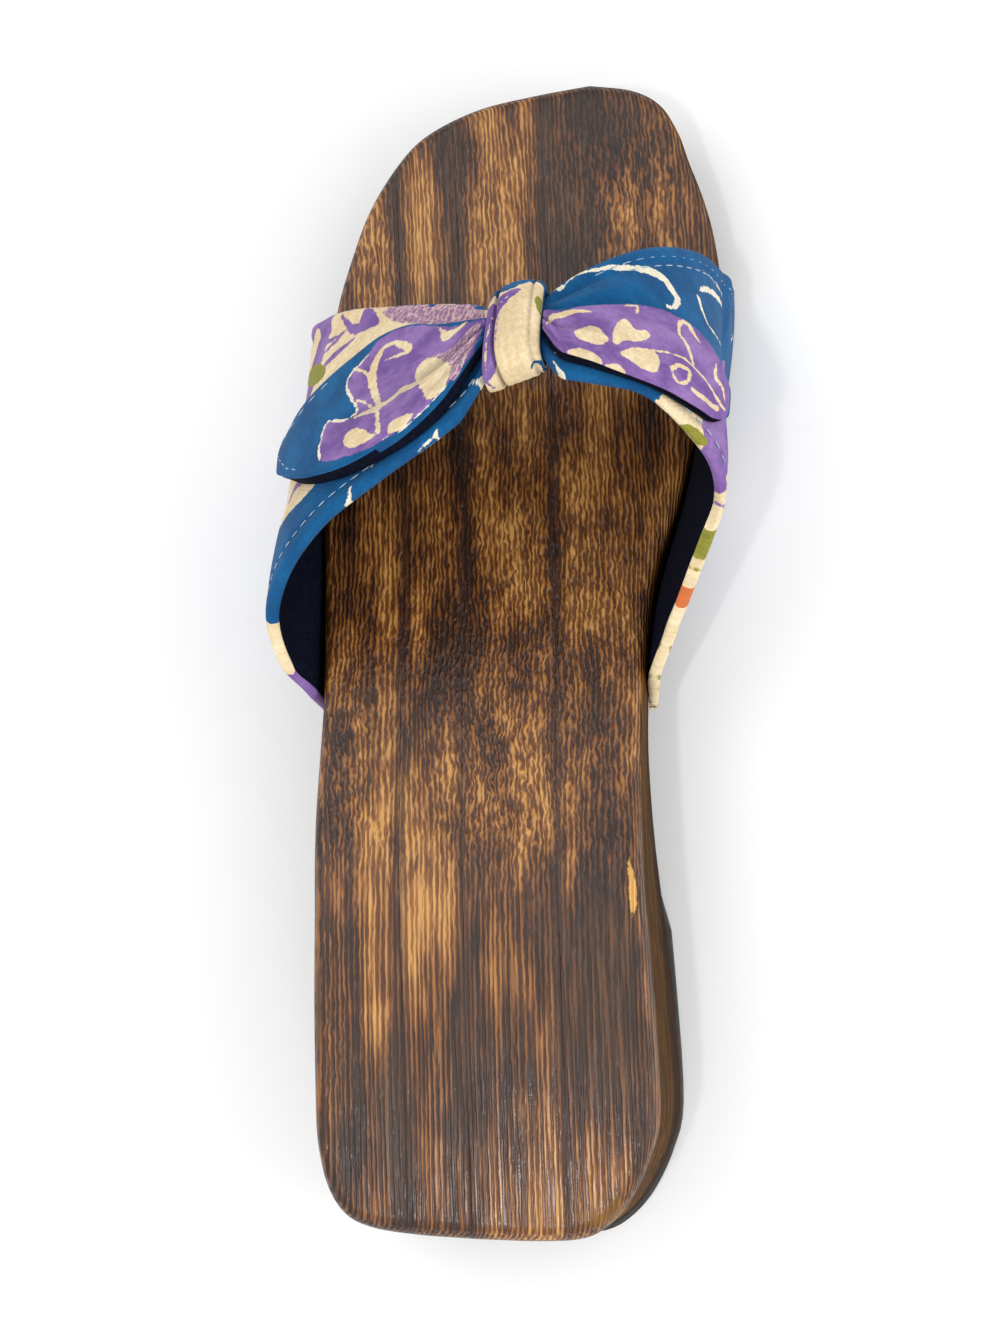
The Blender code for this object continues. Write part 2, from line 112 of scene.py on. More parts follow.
# Side of the sole: along, wedge, toe_rise, arch, spring
PROFILE = np.array((
    (0.00, 1.000, 0.00, 0.00, 0.00),
    (0.14, 0.995, 0.00, 0.00, 0.00),
    (0.28, 0.950, 0.00, 0.00, 0.00),
    (0.36, 0.800, 0.00, 0.55, 0.00),
    (0.44, 0.620, 0.00, 1.00, 0.00),
    (0.48, 0.500, 0.00, 0.96, 0.00),
    (0.56, 0.250, 0.00, 0.40, 0.00),
    (0.62, 0.130, 0.00, 0.00, 0.00),
    (0.72, 0.000, 0.00, 0.00, 0.00),
    (0.81, 0.000, 0.00, 0.00, 0.00),
    (0.90, 0.000, 0.30, 0.00, 0.32),
    (1.00, 0.000, 1.00, 0.00, 1.00),
))
GLUE_LINES = (-0.270, -0.115, 0.118)

# The band: rear_out, rear_along, rear_up, front_out, front_along, front_up, bulge
BAND = np.array((
    (-0.990, 0.434, 0.290, -1.090, 0.785, 0.080, 0.00),
    (-0.960, 0.444, 0.462, -1.137, 0.785, 0.266, 0.40),
    (-1.040, 0.463, 0.538, -1.112, 0.783, 0.343, 0.70),
    (-1.083, 0.490, 0.629, -1.032, 0.782, 0.420, 0.75),
    (-1.059, 0.512, 0.706, -0.939, 0.781, 0.503, 0.75),
    (-0.959, 0.540, 0.797, -0.805, 0.778, 0.594, 0.80),
    (-0.768, 0.573, 0.881, -0.634, 0.773, 0.676, 0.80),
    (-0.500, 0.605, 0.955, -0.429, 0.770, 0.741, 0.60),
    (-0.232, 0.640, 0.997, -0.207, 0.767, 0.783, 0.25),
    (-0.024, 0.675, 0.996, -0.037, 0.765, 0.801, 0.00),
    (0.122, 0.689, 0.990, 0.110, 0.769, 0.808, 0.00),
    (0.268, 0.692, 0.990, 0.244, 0.779, 0.811, 0.00),
    (0.512, 0.683, 0.993, 0.415, 0.796, 0.808, 0.30),
    (0.720, 0.671, 0.983, 0.595, 0.812, 0.772, 0.75),
    (0.895, 0.646, 0.927, 0.744, 0.823, 0.697, 1.00),
    (1.000, 0.624, 0.853, 0.866, 0.829, 0.599, 1.10),
    (1.029, 0.596, 0.783, 0.939, 0.831, 0.510, 1.10),
    (0.983, 0.565, 0.720, 0.995, 0.829, 0.420, 0.95),
    (0.890, 0.525, 0.629, 1.024, 0.828, 0.336, 0.60),
    (0.815, 0.496, 0.552, 1.049, 0.828, 0.252, 0.30),
    (0.766, 0.467, 0.448, 1.059, 0.828, 0.168, 0.10),
    (0.764, 0.446, 0.290, 1.050, 0.828, 0.080, 0.00),
))
BAND_LAST = len(BAND) - 1.0
HEM_ROWS = 1.0
LOW_ROWS = 5.0
KNOT_MIDDLE = 9.85
KNOT_REACH = 0.84

# Tails of the tie, from the knot to the tip: row, heel_edge, toe_edge, curl
TAIL_LATERAL = np.array((
    (8.90, 0.36, 0.74, 0.25),
    (8.45, 0.24, 0.76, 0.60),
    (8.10, 0.13, 0.77, 0.90),
    (7.60, 0.08, 0.79, 1.00),
    (7.10, 0.08, 0.82, 1.00),
    (6.50, 0.11, 0.79, 0.90),
    (5.95, 0.17, 0.71, 0.70),
    (5.45, 0.24, 0.65, 0.45),
    (4.95, 0.31, 0.60, 0.25),
    (4.55, 0.365, 0.565, 0.15),
    (4.25, 0.42, 0.53, 0.10),
))
TAIL_MEDIAL = np.array((
    (10.85, 0.22, 0.58, 0.20),
    (11.30, 0.11, 0.585, 0.30),
    (11.90, 0.07, 0.575, 0.35),
    (12.50, 0.05, 0.565, 0.30),
    (13.00, 0.05, 0.56, 0.25),
    (13.50, 0.07, 0.56, 0.20),
    (14.00, 0.095, 0.545, 0.15),
    (14.40, 0.11, 0.52, 0.10),
    (14.75, 0.15, 0.48, 0.10),
    (15.00, 0.20, 0.44, 0.10),
    (15.15, 0.27, 0.39, 0.10),
))

# Soft spots on the wood, in millimetres from the middle of the heel's back.
# Columns: across, along, half width, half length, strength.
BURN_AND_SHADE_SPOTS = (
    (18, 233, 9, 12, 0.75), (4, 229, 5, 9, 0.55), (10, 210, 7, 12, 0.95), (-17, 222, 3, 24, 0.60),
    # The weak spot 16 mm to the little-toe side and 125 mm along is painted shade under the little-toe tail;
    # the others are burnt wood
    (30, 222, 5, 14, 0.45), (-34, 150, 4, 30, 0.40), (-16, 125, 9, 26, 0.12),
    (23, 58, 8, 14, 1.00), (21, 40, 9, 16, 0.75), (9, 62, 4, 12, 0.60), (-17, 22, 4, 20, 0.85),
    (-24, 28, 9, 17, 0.35), (8, 28, 8, 17, 0.30), (-3, 42, 4, 16, 0.60), (-3, 95, 3, 26, 0.40),
    (-30, 60, 5, 40, 0.40), (30, 30, 5, 16, 0.55), (-30, 12, 8, 14, 0.40), (8, 14, 5, 12, 0.40),
    (20, 96, 6, 16, 0.25), (-14, 98, 3, 18, 0.30),
)
GOLD_SPOTS = (
    (-19, 84, 8, 22, 0.80), (-20, 60, 8, 18, 0.90), (-22, 45, 6, 10, 0.70), (3, 88, 10, 18, 0.85),
    (-9, 66, 5, 18, 0.70), (13, 60, 3, 14, 0.60), (15, 28, 2.5, 24, 0.85), (28, 210, 9, 14, 0.45),
    (-24, 208, 10, 20, 0.42), (-8, 200, 7, 22, 0.46), (5, 140, 9, 20, 0.50), (-30, 185, 6, 18, 0.40),
    (-28, 128, 7, 22, 0.50), (18, 155, 8, 14, 0.45), (-8, 30, 3, 12, 0.40),
)
WAVY_SPOTS = (
    (4, 90, 12, 22, 1.0), (-8, 92, 8, 20, 0.6), (-32, 95, 6, 26, 0.9), (0, 150, 34, 34, 0.8),
    (20, 218, 16, 24, 1.0), (-10, 214, 12, 20, 0.55), (-34, 200, 8, 22, 0.8), (24, 92, 8, 16, 0.6),
    (-30, 40, 5, 20, 0.4),
)
BARE_SPOTS = ((28.2, 68.0, 1.0, 5.2, 1.0), (27.2, 74.0, 0.5, 3.0, 0.6))
OCHRE_SPOTS = ((23.0, 5.4, 5.0, 2.0, 0.9), (27.0, 8.0, 2.0, 3.0, 0.7), (6, 5, 1.2, 4, 0.5))

# Glue lines as they show, and the soft waves that planing leaves
HALF_SEAM = 0.00002
SEAM_HALF_WIDTH = 0.0006
SEAM_DEPTH = 0.00012
PLANING_WAVE = 0.00012

# Distance from one line of the wood's grain to the next, and how far the weave stands out
GRAIN_PITCH = 0.00106
WEAVE_RELIEF = 0.00012

# How fine the pieces are
BOARD_ALONG = 230
WALL_LEVELS = 12
BAND_ROWS = 320
BAND_ACROSS = 112
KNOT_ROWS = 56
KNOT_TURN = 168
TAIL_ROWS = 150
TAIL_ACROSS = 84
FLANGE_COLUMNS = 12

# Width of a board's columns, and how far its first rows and columns lie from its edge
COLUMN_WIDTH = 0.0009
BOARD_EDGE = (0.0, 0.00012, 0.0004, 0.0009, 0.0016, 0.0026)

# Where the outer boards' ends turn into their outer sides, in metres across and along. The last
# one is a step from the toe end of the outermost glue line.
LATERAL_HEEL_CORNER = (-0.0292, 0.0075)
MEDIAL_HEEL_CORNER = (0.0282, 0.0072)
MEDIAL_TOE_CORNER = (0.0275, 0.2345)
LATERAL_TOE_STEP = (-0.0042, -0.0052)


def linear(red, green, blue):
    """Linear colour of a screen colour from 0 to 255."""
    shares = [value / 255.0 for value in (red, green, blue)]
    return tuple(s / 12.92 if s <= 0.04045 else ((s + 0.055) / 1.055) ** 2.4 for s in shares)


def smooth_step(low, high, value):
    share = np.clip((np.asarray(value, float) - low) / (high - low), 0.0, 1.0)
    return share * share * (3.0 - 2.0 * share)


def cubic(share, start, end, slope_in, slope_out):
    """Smooth curve from one value to the next, with a slope at each end."""
    square = share * share
    cube = square * share
    return ((2.0 * cube - 3.0 * square + 1.0) * start + (cube - 2.0 * square + share) * slope_in
            + (3.0 * square - 2.0 * cube) * end + (cube - square) * slope_out)


def table_at(table, position):
    """Rows of a table at fractional row numbers, on a smooth curve through its rows."""
    last = len(table) - 1
    position = np.asarray(position, float)
    row = np.clip(position.astype(int), 0, last - 1)
    share = (position - row)[..., None]
    before = table[np.maximum(row - 1, 0)]
    start = table[row]
    end = table[row + 1]
    after = table[np.minimum(row + 2, last)]
    slope_in = np.where((row > 0)[..., None], (end - before) / 2.0, end - start)
    slope_out = np.where((row + 2 <= last)[..., None], (after - start) / 2.0, end - start)
    return cubic(share, start, end, slope_in, slope_out)


def profile_at(along):
    """Wedge, toe rise, arch and spring shares along the foot, without overshoot."""
    steps = np.diff(PROFILE[:, 0])
    slopes = np.diff(PROFILE[:, 1:], axis=0) / steps[:, None]
    left, right = slopes[:-1], slopes[1:]
    together = left * right > 0.0
    total = np.where(together, left + right, 1.0)
    inner = np.where(together, 2.0 * left * right / total, 0.0)
    ends = np.zeros((1, PROFILE.shape[1] - 1))
    tangents = np.concatenate([ends, inner, ends])
    along = np.clip(np.asarray(along, float), 0.0, 1.0)
    row = np.clip(np.searchsorted(PROFILE[:, 0], along, side="right") - 1, 0, len(steps) - 1)
    step = steps[row][..., None]
    share = (along - PROFILE[row, 0])[..., None] / step
    value = cubic(share, PROFILE[row, 1:], PROFILE[row + 1, 1:],
                  step * tangents[row], step * tangents[row + 1])
    return [value[..., i] for i in range(4)]


def top_height(y):
    wedge, toe_rise, _, _ = profile_at(y / SOLE_LENGTH)
    return BALL_HEIGHT + (HEEL_HEIGHT - BALL_HEIGHT) * wedge + TOE_RISE * toe_rise


def bottom_height(y):
    _, _, arch, spring = profile_at(y / SOLE_LENGTH)
    tread = HEEL_TREAD + (FOREFOOT_TREAD - HEEL_TREAD) * smooth_step(0.40, 0.50, y / SOLE_LENGTH)
    seat = tread + FIT_GAP
    return seat + (ARCH_HEIGHT - seat) * arch + TOE_SPRING * spring


def local_width(along):
    return HEEL_WIDTH + (BALL_WIDTH - HEEL_WIDTH) * smooth_step(0.25, 0.65, along)


def outline_sides(count):
    """Lateral and medial sides of the sole's outline, from the heel's back to the toe's tip."""
    rows = table_at(OUTLINE, np.linspace(0.0, len(OUTLINE) - 1.0, count))
    lateral = np.stack([-rows[:, 1] * local_width(rows[:, 0]), rows[:, 0] * SOLE_LENGTH], axis=1)
    medial = np.stack([rows[:, 3] * local_width(rows[:, 2]), rows[:, 2] * SOLE_LENGTH], axis=1)
    return lateral, medial


LATERAL, MEDIAL = outline_sides(4001)
LOOP = np.concatenate([MEDIAL[:-1], LATERAL[:0:-1]])
BESIDE_BAND = slice(400, 3200)


def wall_x(side, y, distance):
    """How far out a point at a distance outside the sole's side wall lies, side by side."""
    found = np.zeros_like(y)
    for sign, line in ((-1, LATERAL), (1, MEDIAL)):
        part = line[BESIDE_BAND]
        ahead = np.gradient(part, axis=0)
        ahead /= np.linalg.norm(ahead, axis=1)[:, None]
        out = part[:, 0] + sign * ahead[:, 1] * distance
        found = np.where(side == sign, np.interp(y, part[:, 1], out), found)
    return found


def band_outer(row, across):
    """Points of the band's outer face; across runs from the heel edge to the toe edge."""
    row, across = np.broadcast_arrays(np.asarray(row, float), np.asarray(across, float))
    row = np.clip(row, 0.0, BAND_LAST)
    sizes = table_at(BAND, row)
    scale = np.array([BALL_WIDTH / 2.0, SOLE_LENGTH, BAND_CROWN])
    rear = sizes[..., 0:3] * scale
    front = sizes[..., 3:6] * scale
    span = front - rear
    lengthwise = span / np.linalg.norm(span, axis=-1)[..., None]
    pinch = 1.0 - smooth_step(0.95 * KNOT_REACH, 1.8 * KNOT_REACH, np.abs(row - KNOT_MIDDLE))
    rear = rear + lengthwise * (PINCH_REAR * pinch)[..., None]
    front = front - lengthwise * (PINCH_FRONT * pinch)[..., None]
    point = rear + (front - rear) * across[..., None]
    away = np.stack([point[..., 0], np.zeros_like(row), point[..., 2] - BALL_HEIGHT], axis=-1)
    away /= np.linalg.norm(away, axis=-1)[..., None]
    edge_turn = BAND_WALL * np.abs(away[..., 0]) * (1.0 - across) ** 2.0
    swell = BAND_BULGE * sizes[..., 6] * np.sin(np.pi * np.clip(across, 0.0, 1.0) ** 0.5)
    point = point + away * (edge_turn + swell)[..., None]
    side = np.where(row < BAND_LAST / 2.0, -1, 1)
    rows_up = np.minimum(row, BAND_LAST - row)
    low = rows_up < LOW_ROWS
    wall = wall_x(side, point[..., 1], 1.5 * FIT_GAP + BAND_WALL)
    hold = np.where(low, 1.0 - smooth_step(0.0, HEM_ROWS + 1.0, rows_up), 0.0)
    drop = np.where(low, 1.0 - smooth_step(0.0, HEM_ROWS, rows_up), 0.0)
    hem = bottom_height(point[..., 1]) + BOTTOM_CHAMFER
    point[..., 0] += (wall - point[..., 0]) * hold
    point[..., 2] += (hem - point[..., 2]) * drop
    top = top_height(point[..., 1])
    beside = 1.0 - smooth_step(0.0, 2.0 * BAND_WALL, point[..., 2] - top)
    beside = np.where(low, beside, 0.0)
    point[..., 0] += side * np.maximum(side * (wall - point[..., 0]), 0.0) * beside
    return point


def band_normal(row, across):
    row, across = np.broadcast_arrays(np.asarray(row, float), np.asarray(across, float))
    step = 0.04
    across_high = np.minimum(across + step, 1.0)
    across_low = np.maximum(across - step, 0.0)
    along_row = band_outer(row + step, across) - band_outer(row - step, across)
    along_foot = band_outer(row, across_high) - band_outer(row, across_low)
    normal = np.cross(along_row, along_foot)
    return normal / np.linalg.norm(normal, axis=-1)[..., None]


def pleat_depth(row):
    reach = np.abs(row - KNOT_MIDDLE)
    return PLEAT_DEPTH * smooth_step(0.0, 1.6, reach) * (1.0 - smooth_step(1.6, 4.5, reach))


def soft_spots(spots, x, y):
    """Sum of soft oval spots, kept between 0 and 1; x and y are in metres."""
    total = np.zeros_like(x)
    for across, along, half_width, half_length, strength in spots:
        lean = x + JOINT_LEAN * -(y - along / 1000.0)
        reach = ((lean - across / 1000.0) / (half_width / 1000.0)) ** 2
        reach += ((y - along / 1000.0) / (half_length / 1000.0)) ** 2
        total += strength * np.exp(-reach)
    return np.clip(total, 0.0, 1.0)


def from_stretch(x, y, start, end):
    """How far along a straight stretch points lie, as a share, and how far from it they are."""
    dx, dy = end[0] - start[0], end[1] - start[1]
    share = ((x - start[0]) * dx + (y - start[1]) * dy) / (dx * dx + dy * dy + 1e-12)
    share = np.clip(share, 0.0, 1.0)
    return share, np.hypot(x - start[0] - share * dx, y - start[1] - share * dy)


def smooth_ring(points, count=8):
    """Closed smooth curve through given points."""
    points = np.asarray(points, float)
    total = len(points)
    wrapped = np.concatenate([points[-1:], points, points[:2]])
    position = 1.0 + np.arange(total * count) / count
    return table_at(wrapped, position)


def inside_distance(points, x, y):
    """Signed distance to a smooth closed outline, positive inside it."""
    ring = smooth_ring(points)
    ends = np.roll(ring, -1, axis=0)
    nearest = np.full(x.shape, 1e9)
    inside = np.zeros(x.shape, bool)
    for (ax, ay), (bx, by) in zip(ring, ends):
        nearest = np.minimum(nearest, from_stretch(x, y, (ax, ay), (bx, by))[1])
        rise = 1e-12 if by == ay else by - ay
        inside ^= ((ay > y) != (by > y)) & (x < (bx - ax) * (y - ay) / rise + ax)
    return np.where(inside, nearest, -nearest)


def stroke_distance(points, x, y):
    """Signed distance to a brush stroke through points of x, y and full width."""
    rows = np.asarray(points, float)
    path = table_at(rows, np.linspace(0.0, len(rows) - 1.0, (len(rows) - 1) * 6 + 1))
    best = np.full(x.shape, -1e9)
    for start, end in zip(path[:-1], path[1:]):
        share, gap = from_stretch(x, y, start, end)
        best = np.maximum(best, (start[2] + (end[2] - start[2]) * share) / 2.0 - gap)
    return best


def petals_distance(centre, radius, petals, turn, x, y):
    """Signed distance to a flower of separate oval petals."""
    best = np.full(x.shape, -1e9)
    for i in range(petals):
        angle = turn + 2.0 * math.pi * i / petals
        dx = x - centre[0] - 0.56 * radius * math.cos(angle)
        dy = y - centre[1] - 0.56 * radius * math.sin(angle)
        along = dx * math.cos(angle) + dy * math.sin(angle)
        beside = -dx * math.sin(angle) + dy * math.cos(angle)
        reach = np.hypot(along / (0.40 * radius), beside / (0.37 * radius))
        best = np.maximum(best, (1.0 - reach) * 0.38 * radius)
    return best


def place_object(name, data):
    piece = bpy.data.objects.new(name, data)
    bpy.context.scene.collection.objects.link(piece)
    return piece


def new_mesh_object(name, verts, faces, material_list, face_material=None):
    """A smooth piece whose mesh is moved into the model's frame."""
    mesh = bpy.data.meshes.new(name)
    placed = np.asarray(verts, float) + np.array([0.0, -HEEL_REST, 0.0])
    mesh.from_pydata(placed.tolist(), [], faces)
    for material in material_list:
        mesh.materials.append(material)
    if face_material is not None:
        mesh.polygons.foreach_set("material_index", np.asarray(face_material, np.int32))
    mesh.update()
    mesh.shade_smooth()
    return place_object(name, mesh)


def point_outwards(piece):
    body = bmesh.new()
    body.from_mesh(piece.data)
    bmesh.ops.recalc_face_normals(body, faces=body.faces)
    body.to_mesh(piece.data)
    body.free()


def store(piece, name, values):
    attribute = piece.data.attributes.new(name, "FLOAT", "POINT")
    attribute.data.foreach_set("value", np.asarray(values, np.float32).ravel())


def store_cloth_map(piece, coordinates):
    """UV map of a cloth piece, in metres of cloth."""
    layer = piece.data.uv_layers.new(name="cloth")
    corners = np.empty(len(piece.data.loops), np.int32)
    piece.data.loops.foreach_get("vertex_index", corners)
    layer.data.foreach_set("uv", np.asarray(coordinates, np.float32)[corners].ravel())


def grid_faces(rows, columns, start=0, flip=False, wrap=False):
    faces = []
    for i in range(rows - 1):
        for j in range(columns if wrap else columns - 1):
            ahead = (j + 1) % columns
            a = start + i * columns + j
            b = start + i * columns + ahead
            quad = (a, b, b + columns, a + columns)
            faces.append(quad[::-1] if flip else quad)
    return faces


def grid_border(rows, columns):
    border = list(range(columns))
    border += [i * columns + columns - 1 for i in range(1, rows)]
    border += [(rows - 1) * columns + j for j in range(columns - 2, -1, -1)]
    border += [i * columns for i in range(rows - 2, 0, -1)]
    return border


def doubled_faces(rows, columns):
    """Faces of a closed sheet: one grid, the same grid turned over, and the rim between them."""
    count = rows * columns
    border = grid_border(rows, columns)
    rim = [(here, count + here, count + ahead, ahead) for here, ahead in zip(border, border[1:] + border[:1])]
    return grid_faces(rows, columns), grid_faces(rows, columns, start=count, flip=True), rim


class Nodes:
    """Short hand for placing and wiring the nodes of one tree."""

    def __init__(self, tree):
        self.tree = tree

    def wire(self, source, target):
        self.tree.links.new(source, target)

    def put(self, node, values):
        """Give a node's inputs, by name or number, a value or a link."""
        for name, value in values.items():
            if isinstance(value, bpy.types.NodeSocket):
                self.wire(value, node.inputs[name])
            else:
                node.inputs[name].default_value = value

    def add(self, kind, values=None, **settings):
        node = self.tree.nodes.new(kind)
        for key, value in settings.items():
            setattr(node, key, value)
        self.put(node, values or {})
        return node

    def math(self, operation, first, second=0.0):
        return self.add("ShaderNodeMath", {0: first, 1: second}, operation=operation).outputs[0]

    def plus(self, first, second):
        return self.math("ADD", first, second)

    def minus(self, first, second):
        return self.math("SUBTRACT", first, second)

    def times(self, first, second):
        return self.math("MULTIPLY", first, second)

    def ramp(self, value, low, high, to_low=0.0, to_high=1.0):
        values = dict(enumerate((value, low, high, to_low, to_high)))
        return self.add("ShaderNodeMapRange", values, interpolation_type="SMOOTHSTEP").outputs[0]

    def blend(self, factor, first, second, kind="MIX"):
        first, second = ((*c, 1.0) if isinstance(c, tuple) else c for c in (first, second))
        values = {0: factor, 6: first, 7: second}
        return self.add("ShaderNodeMix", values, data_type="RGBA", blend_type=kind).outputs[2]

    def between(self, factor, first, second):
        values = {0: factor, 2: first, 3: second}
        return self.add("ShaderNodeMix", values, data_type="FLOAT").outputs[0]

    def attribute(self, name):
        return self.add("ShaderNodeAttribute", attribute_name=name).outputs["Fac"]

    def noise(self, vector, scale, detail=2.0, roughness=0.5, dimensions="3D"):
        values = {"Vector": vector, "Scale": scale, "Detail": detail, "Roughness": roughness}
        return self.add("ShaderNodeTexNoise", values, noise_dimensions=dimensions).outputs["Fac"]

    def mapping(self, vector, scale=(1.0, 1.0, 1.0), rotation=(0.0, 0.0, 0.0), location=(0.0, 0.0, 0.0)):
        values = {"Vector": vector, "Location": location, "Rotation": rotation, "Scale": scale}
        return self.add("ShaderNodeMapping", values).outputs["Vector"]

    def bump(self, height, distance, strength):
        values = {"Height": height, "Distance": distance, "Strength": strength}
        return self.add("ShaderNodeBump", values).outputs["Normal"]

    def combine(self, x, y, z):
        return self.add("ShaderNodeCombineXYZ", {0: x, 1: y, 2: z}).outputs[0]

    def split(self, vector):
        return self.add("ShaderNodeSeparateXYZ", {0: vector}).outputs

    def group(self, tree, **values):
        return self.add("ShaderNodeGroup", values, node_tree=tree).outputs


def new_group(name, inputs, outputs):
    tree = bpy.data.node_groups.new(name, "ShaderNodeTree")
    for label, kind, default in inputs:
        socket = tree.interface.new_socket(label, in_out="INPUT", socket_type=kind)
        if default is not None:
            socket.default_value = default
    for label, kind in outputs:
        tree.interface.new_socket(label, in_out="OUTPUT", socket_type=kind)
    nodes = Nodes(tree)
    return tree, nodes, nodes.add("NodeGroupInput").outputs, nodes.add("NodeGroupOutput").inputs


def new_material(name):
    material = bpy.data.materials.new(name)
    material.use_nodes = True
    nodes = Nodes(material.node_tree)
    shader = material.node_tree.nodes["Principled BSDF"]
    return material, nodes, shader


def wood_grain(nodes, place, wavy, board, depth):
    """Brushed grain: raised lines that wander along the board and break into dashes where asked."""
    turned = nodes.mapping(place, rotation=(0.0, 0.0, JOINT_LEAN))
    offset = nodes.combine(0.0, nodes.times(board, 0.37), nodes.times(board, 0.11))
    place = nodes.add("ShaderNodeVectorMath", {0: turned, 1: offset}).outputs[0]
    phase = nodes.math("DIVIDE", nodes.plus(nodes.split(turned)[0], depth), GRAIN_PITCH)
    wanders = (
        ((110.0, 8.0, 110.0), (3.0, 7.0, 1.0), 4.2, 0.0),
        ((230.0, 170.0, 230.0), (1.0, 2.0, 5.0), 0.0, 1.8),
        ((750.0, 380.0, 750.0), (4.0, 6.0, 2.0), 0.5, 1.2),
    )
    for scale, location, steady, loose in wanders:
        wander = nodes.noise(nodes.mapping(place, scale=scale, location=location), 1.0, 1.0)
        reach = nodes.plus(nodes.times(wavy, loose), steady)
        phase = nodes.plus(phase, nodes.times(nodes.minus(wander, 0.5), reach))
    ridge = nodes.math("SINE", nodes.times(phase, 2.0 * math.pi))
    long_breaks = nodes.noise(nodes.mapping(place, (1100.0, 35.0, 1100.0)), 1.0, 2.0, 0.6)
    dashed = nodes.mapping(place, (900.0, 330.0, 900.0), location=(5.0, 2.0, 9.0))
    breaks = nodes.between(wavy, long_breaks, nodes.noise(dashed, 1.0, 2.0, 0.6))
    hairs = nodes.noise(nodes.mapping(place, (2900.0, 70.0, 2900.0), location=(2.0, 1.0, 3.0)), 1.0, 1.0)
    breaks = nodes.plus(breaks, nodes.times(nodes.minus(hairs, 0.5), 0.35))
    value = nodes.plus(nodes.times(ridge, 0.13), breaks)
    line = nodes.ramp(value, 0.30, 0.72)
    streak = nodes.noise(nodes.mapping(place, (210.0, 5.0, 210.0), location=(1.0, 4.0, 2.0)), 1.0, 2.0)
    clouded = nodes.mapping(place, (95.0, 42.0, 95.0), location=(8.0, 1.0, 6.0))
    cloud = nodes.noise(clouded, 1.0, 3.0, 0.6)
    return line, nodes.ramp(streak, 0.3, 0.7), nodes.ramp(cloud, 0.32, 0.68)


def make_weave_group():
    """Plain weave with slubs, on a map that is in metres of cloth."""
    tree, nodes, given, made = new_group(
        "plain_weave",
        (("Vector", "NodeSocketVector", None), ("Threads", "NodeSocketFloat", 2100.0)),
        (("Height", "NodeSocketFloat"), ("Tint", "NodeSocketFloat"), ("Ragged", "NodeSocketFloat")),
    )
    parts = nodes.split(given["Vector"])
    turn = nodes.times(given["Threads"], math.pi)
    warp = nodes.math("SINE", nodes.times(parts[0], turn))
    weft = nodes.math("SINE", nodes.times(parts[1], turn))
    weave = nodes.times(warp, weft)
    slub = nodes.noise(given["Vector"], 1500.0, 2.0, 0.6, "2D")
    height = nodes.plus(nodes.times(weave, 0.35), slub)
    nodes.wire(height, made["Height"])
    speckle = nodes.noise(given["Vector"], 900.0, 3.0, 0.75, "2D")
    nodes.wire(nodes.plus(nodes.times(speckle, 0.8), nodes.times(weave, 0.04)), made["Tint"])
    ragged = nodes.noise(given["Vector"], 620.0, 2.0, 0.7, "2D")
    nodes.wire(nodes.minus(ragged, 0.5), made["Ragged"])
    return tree


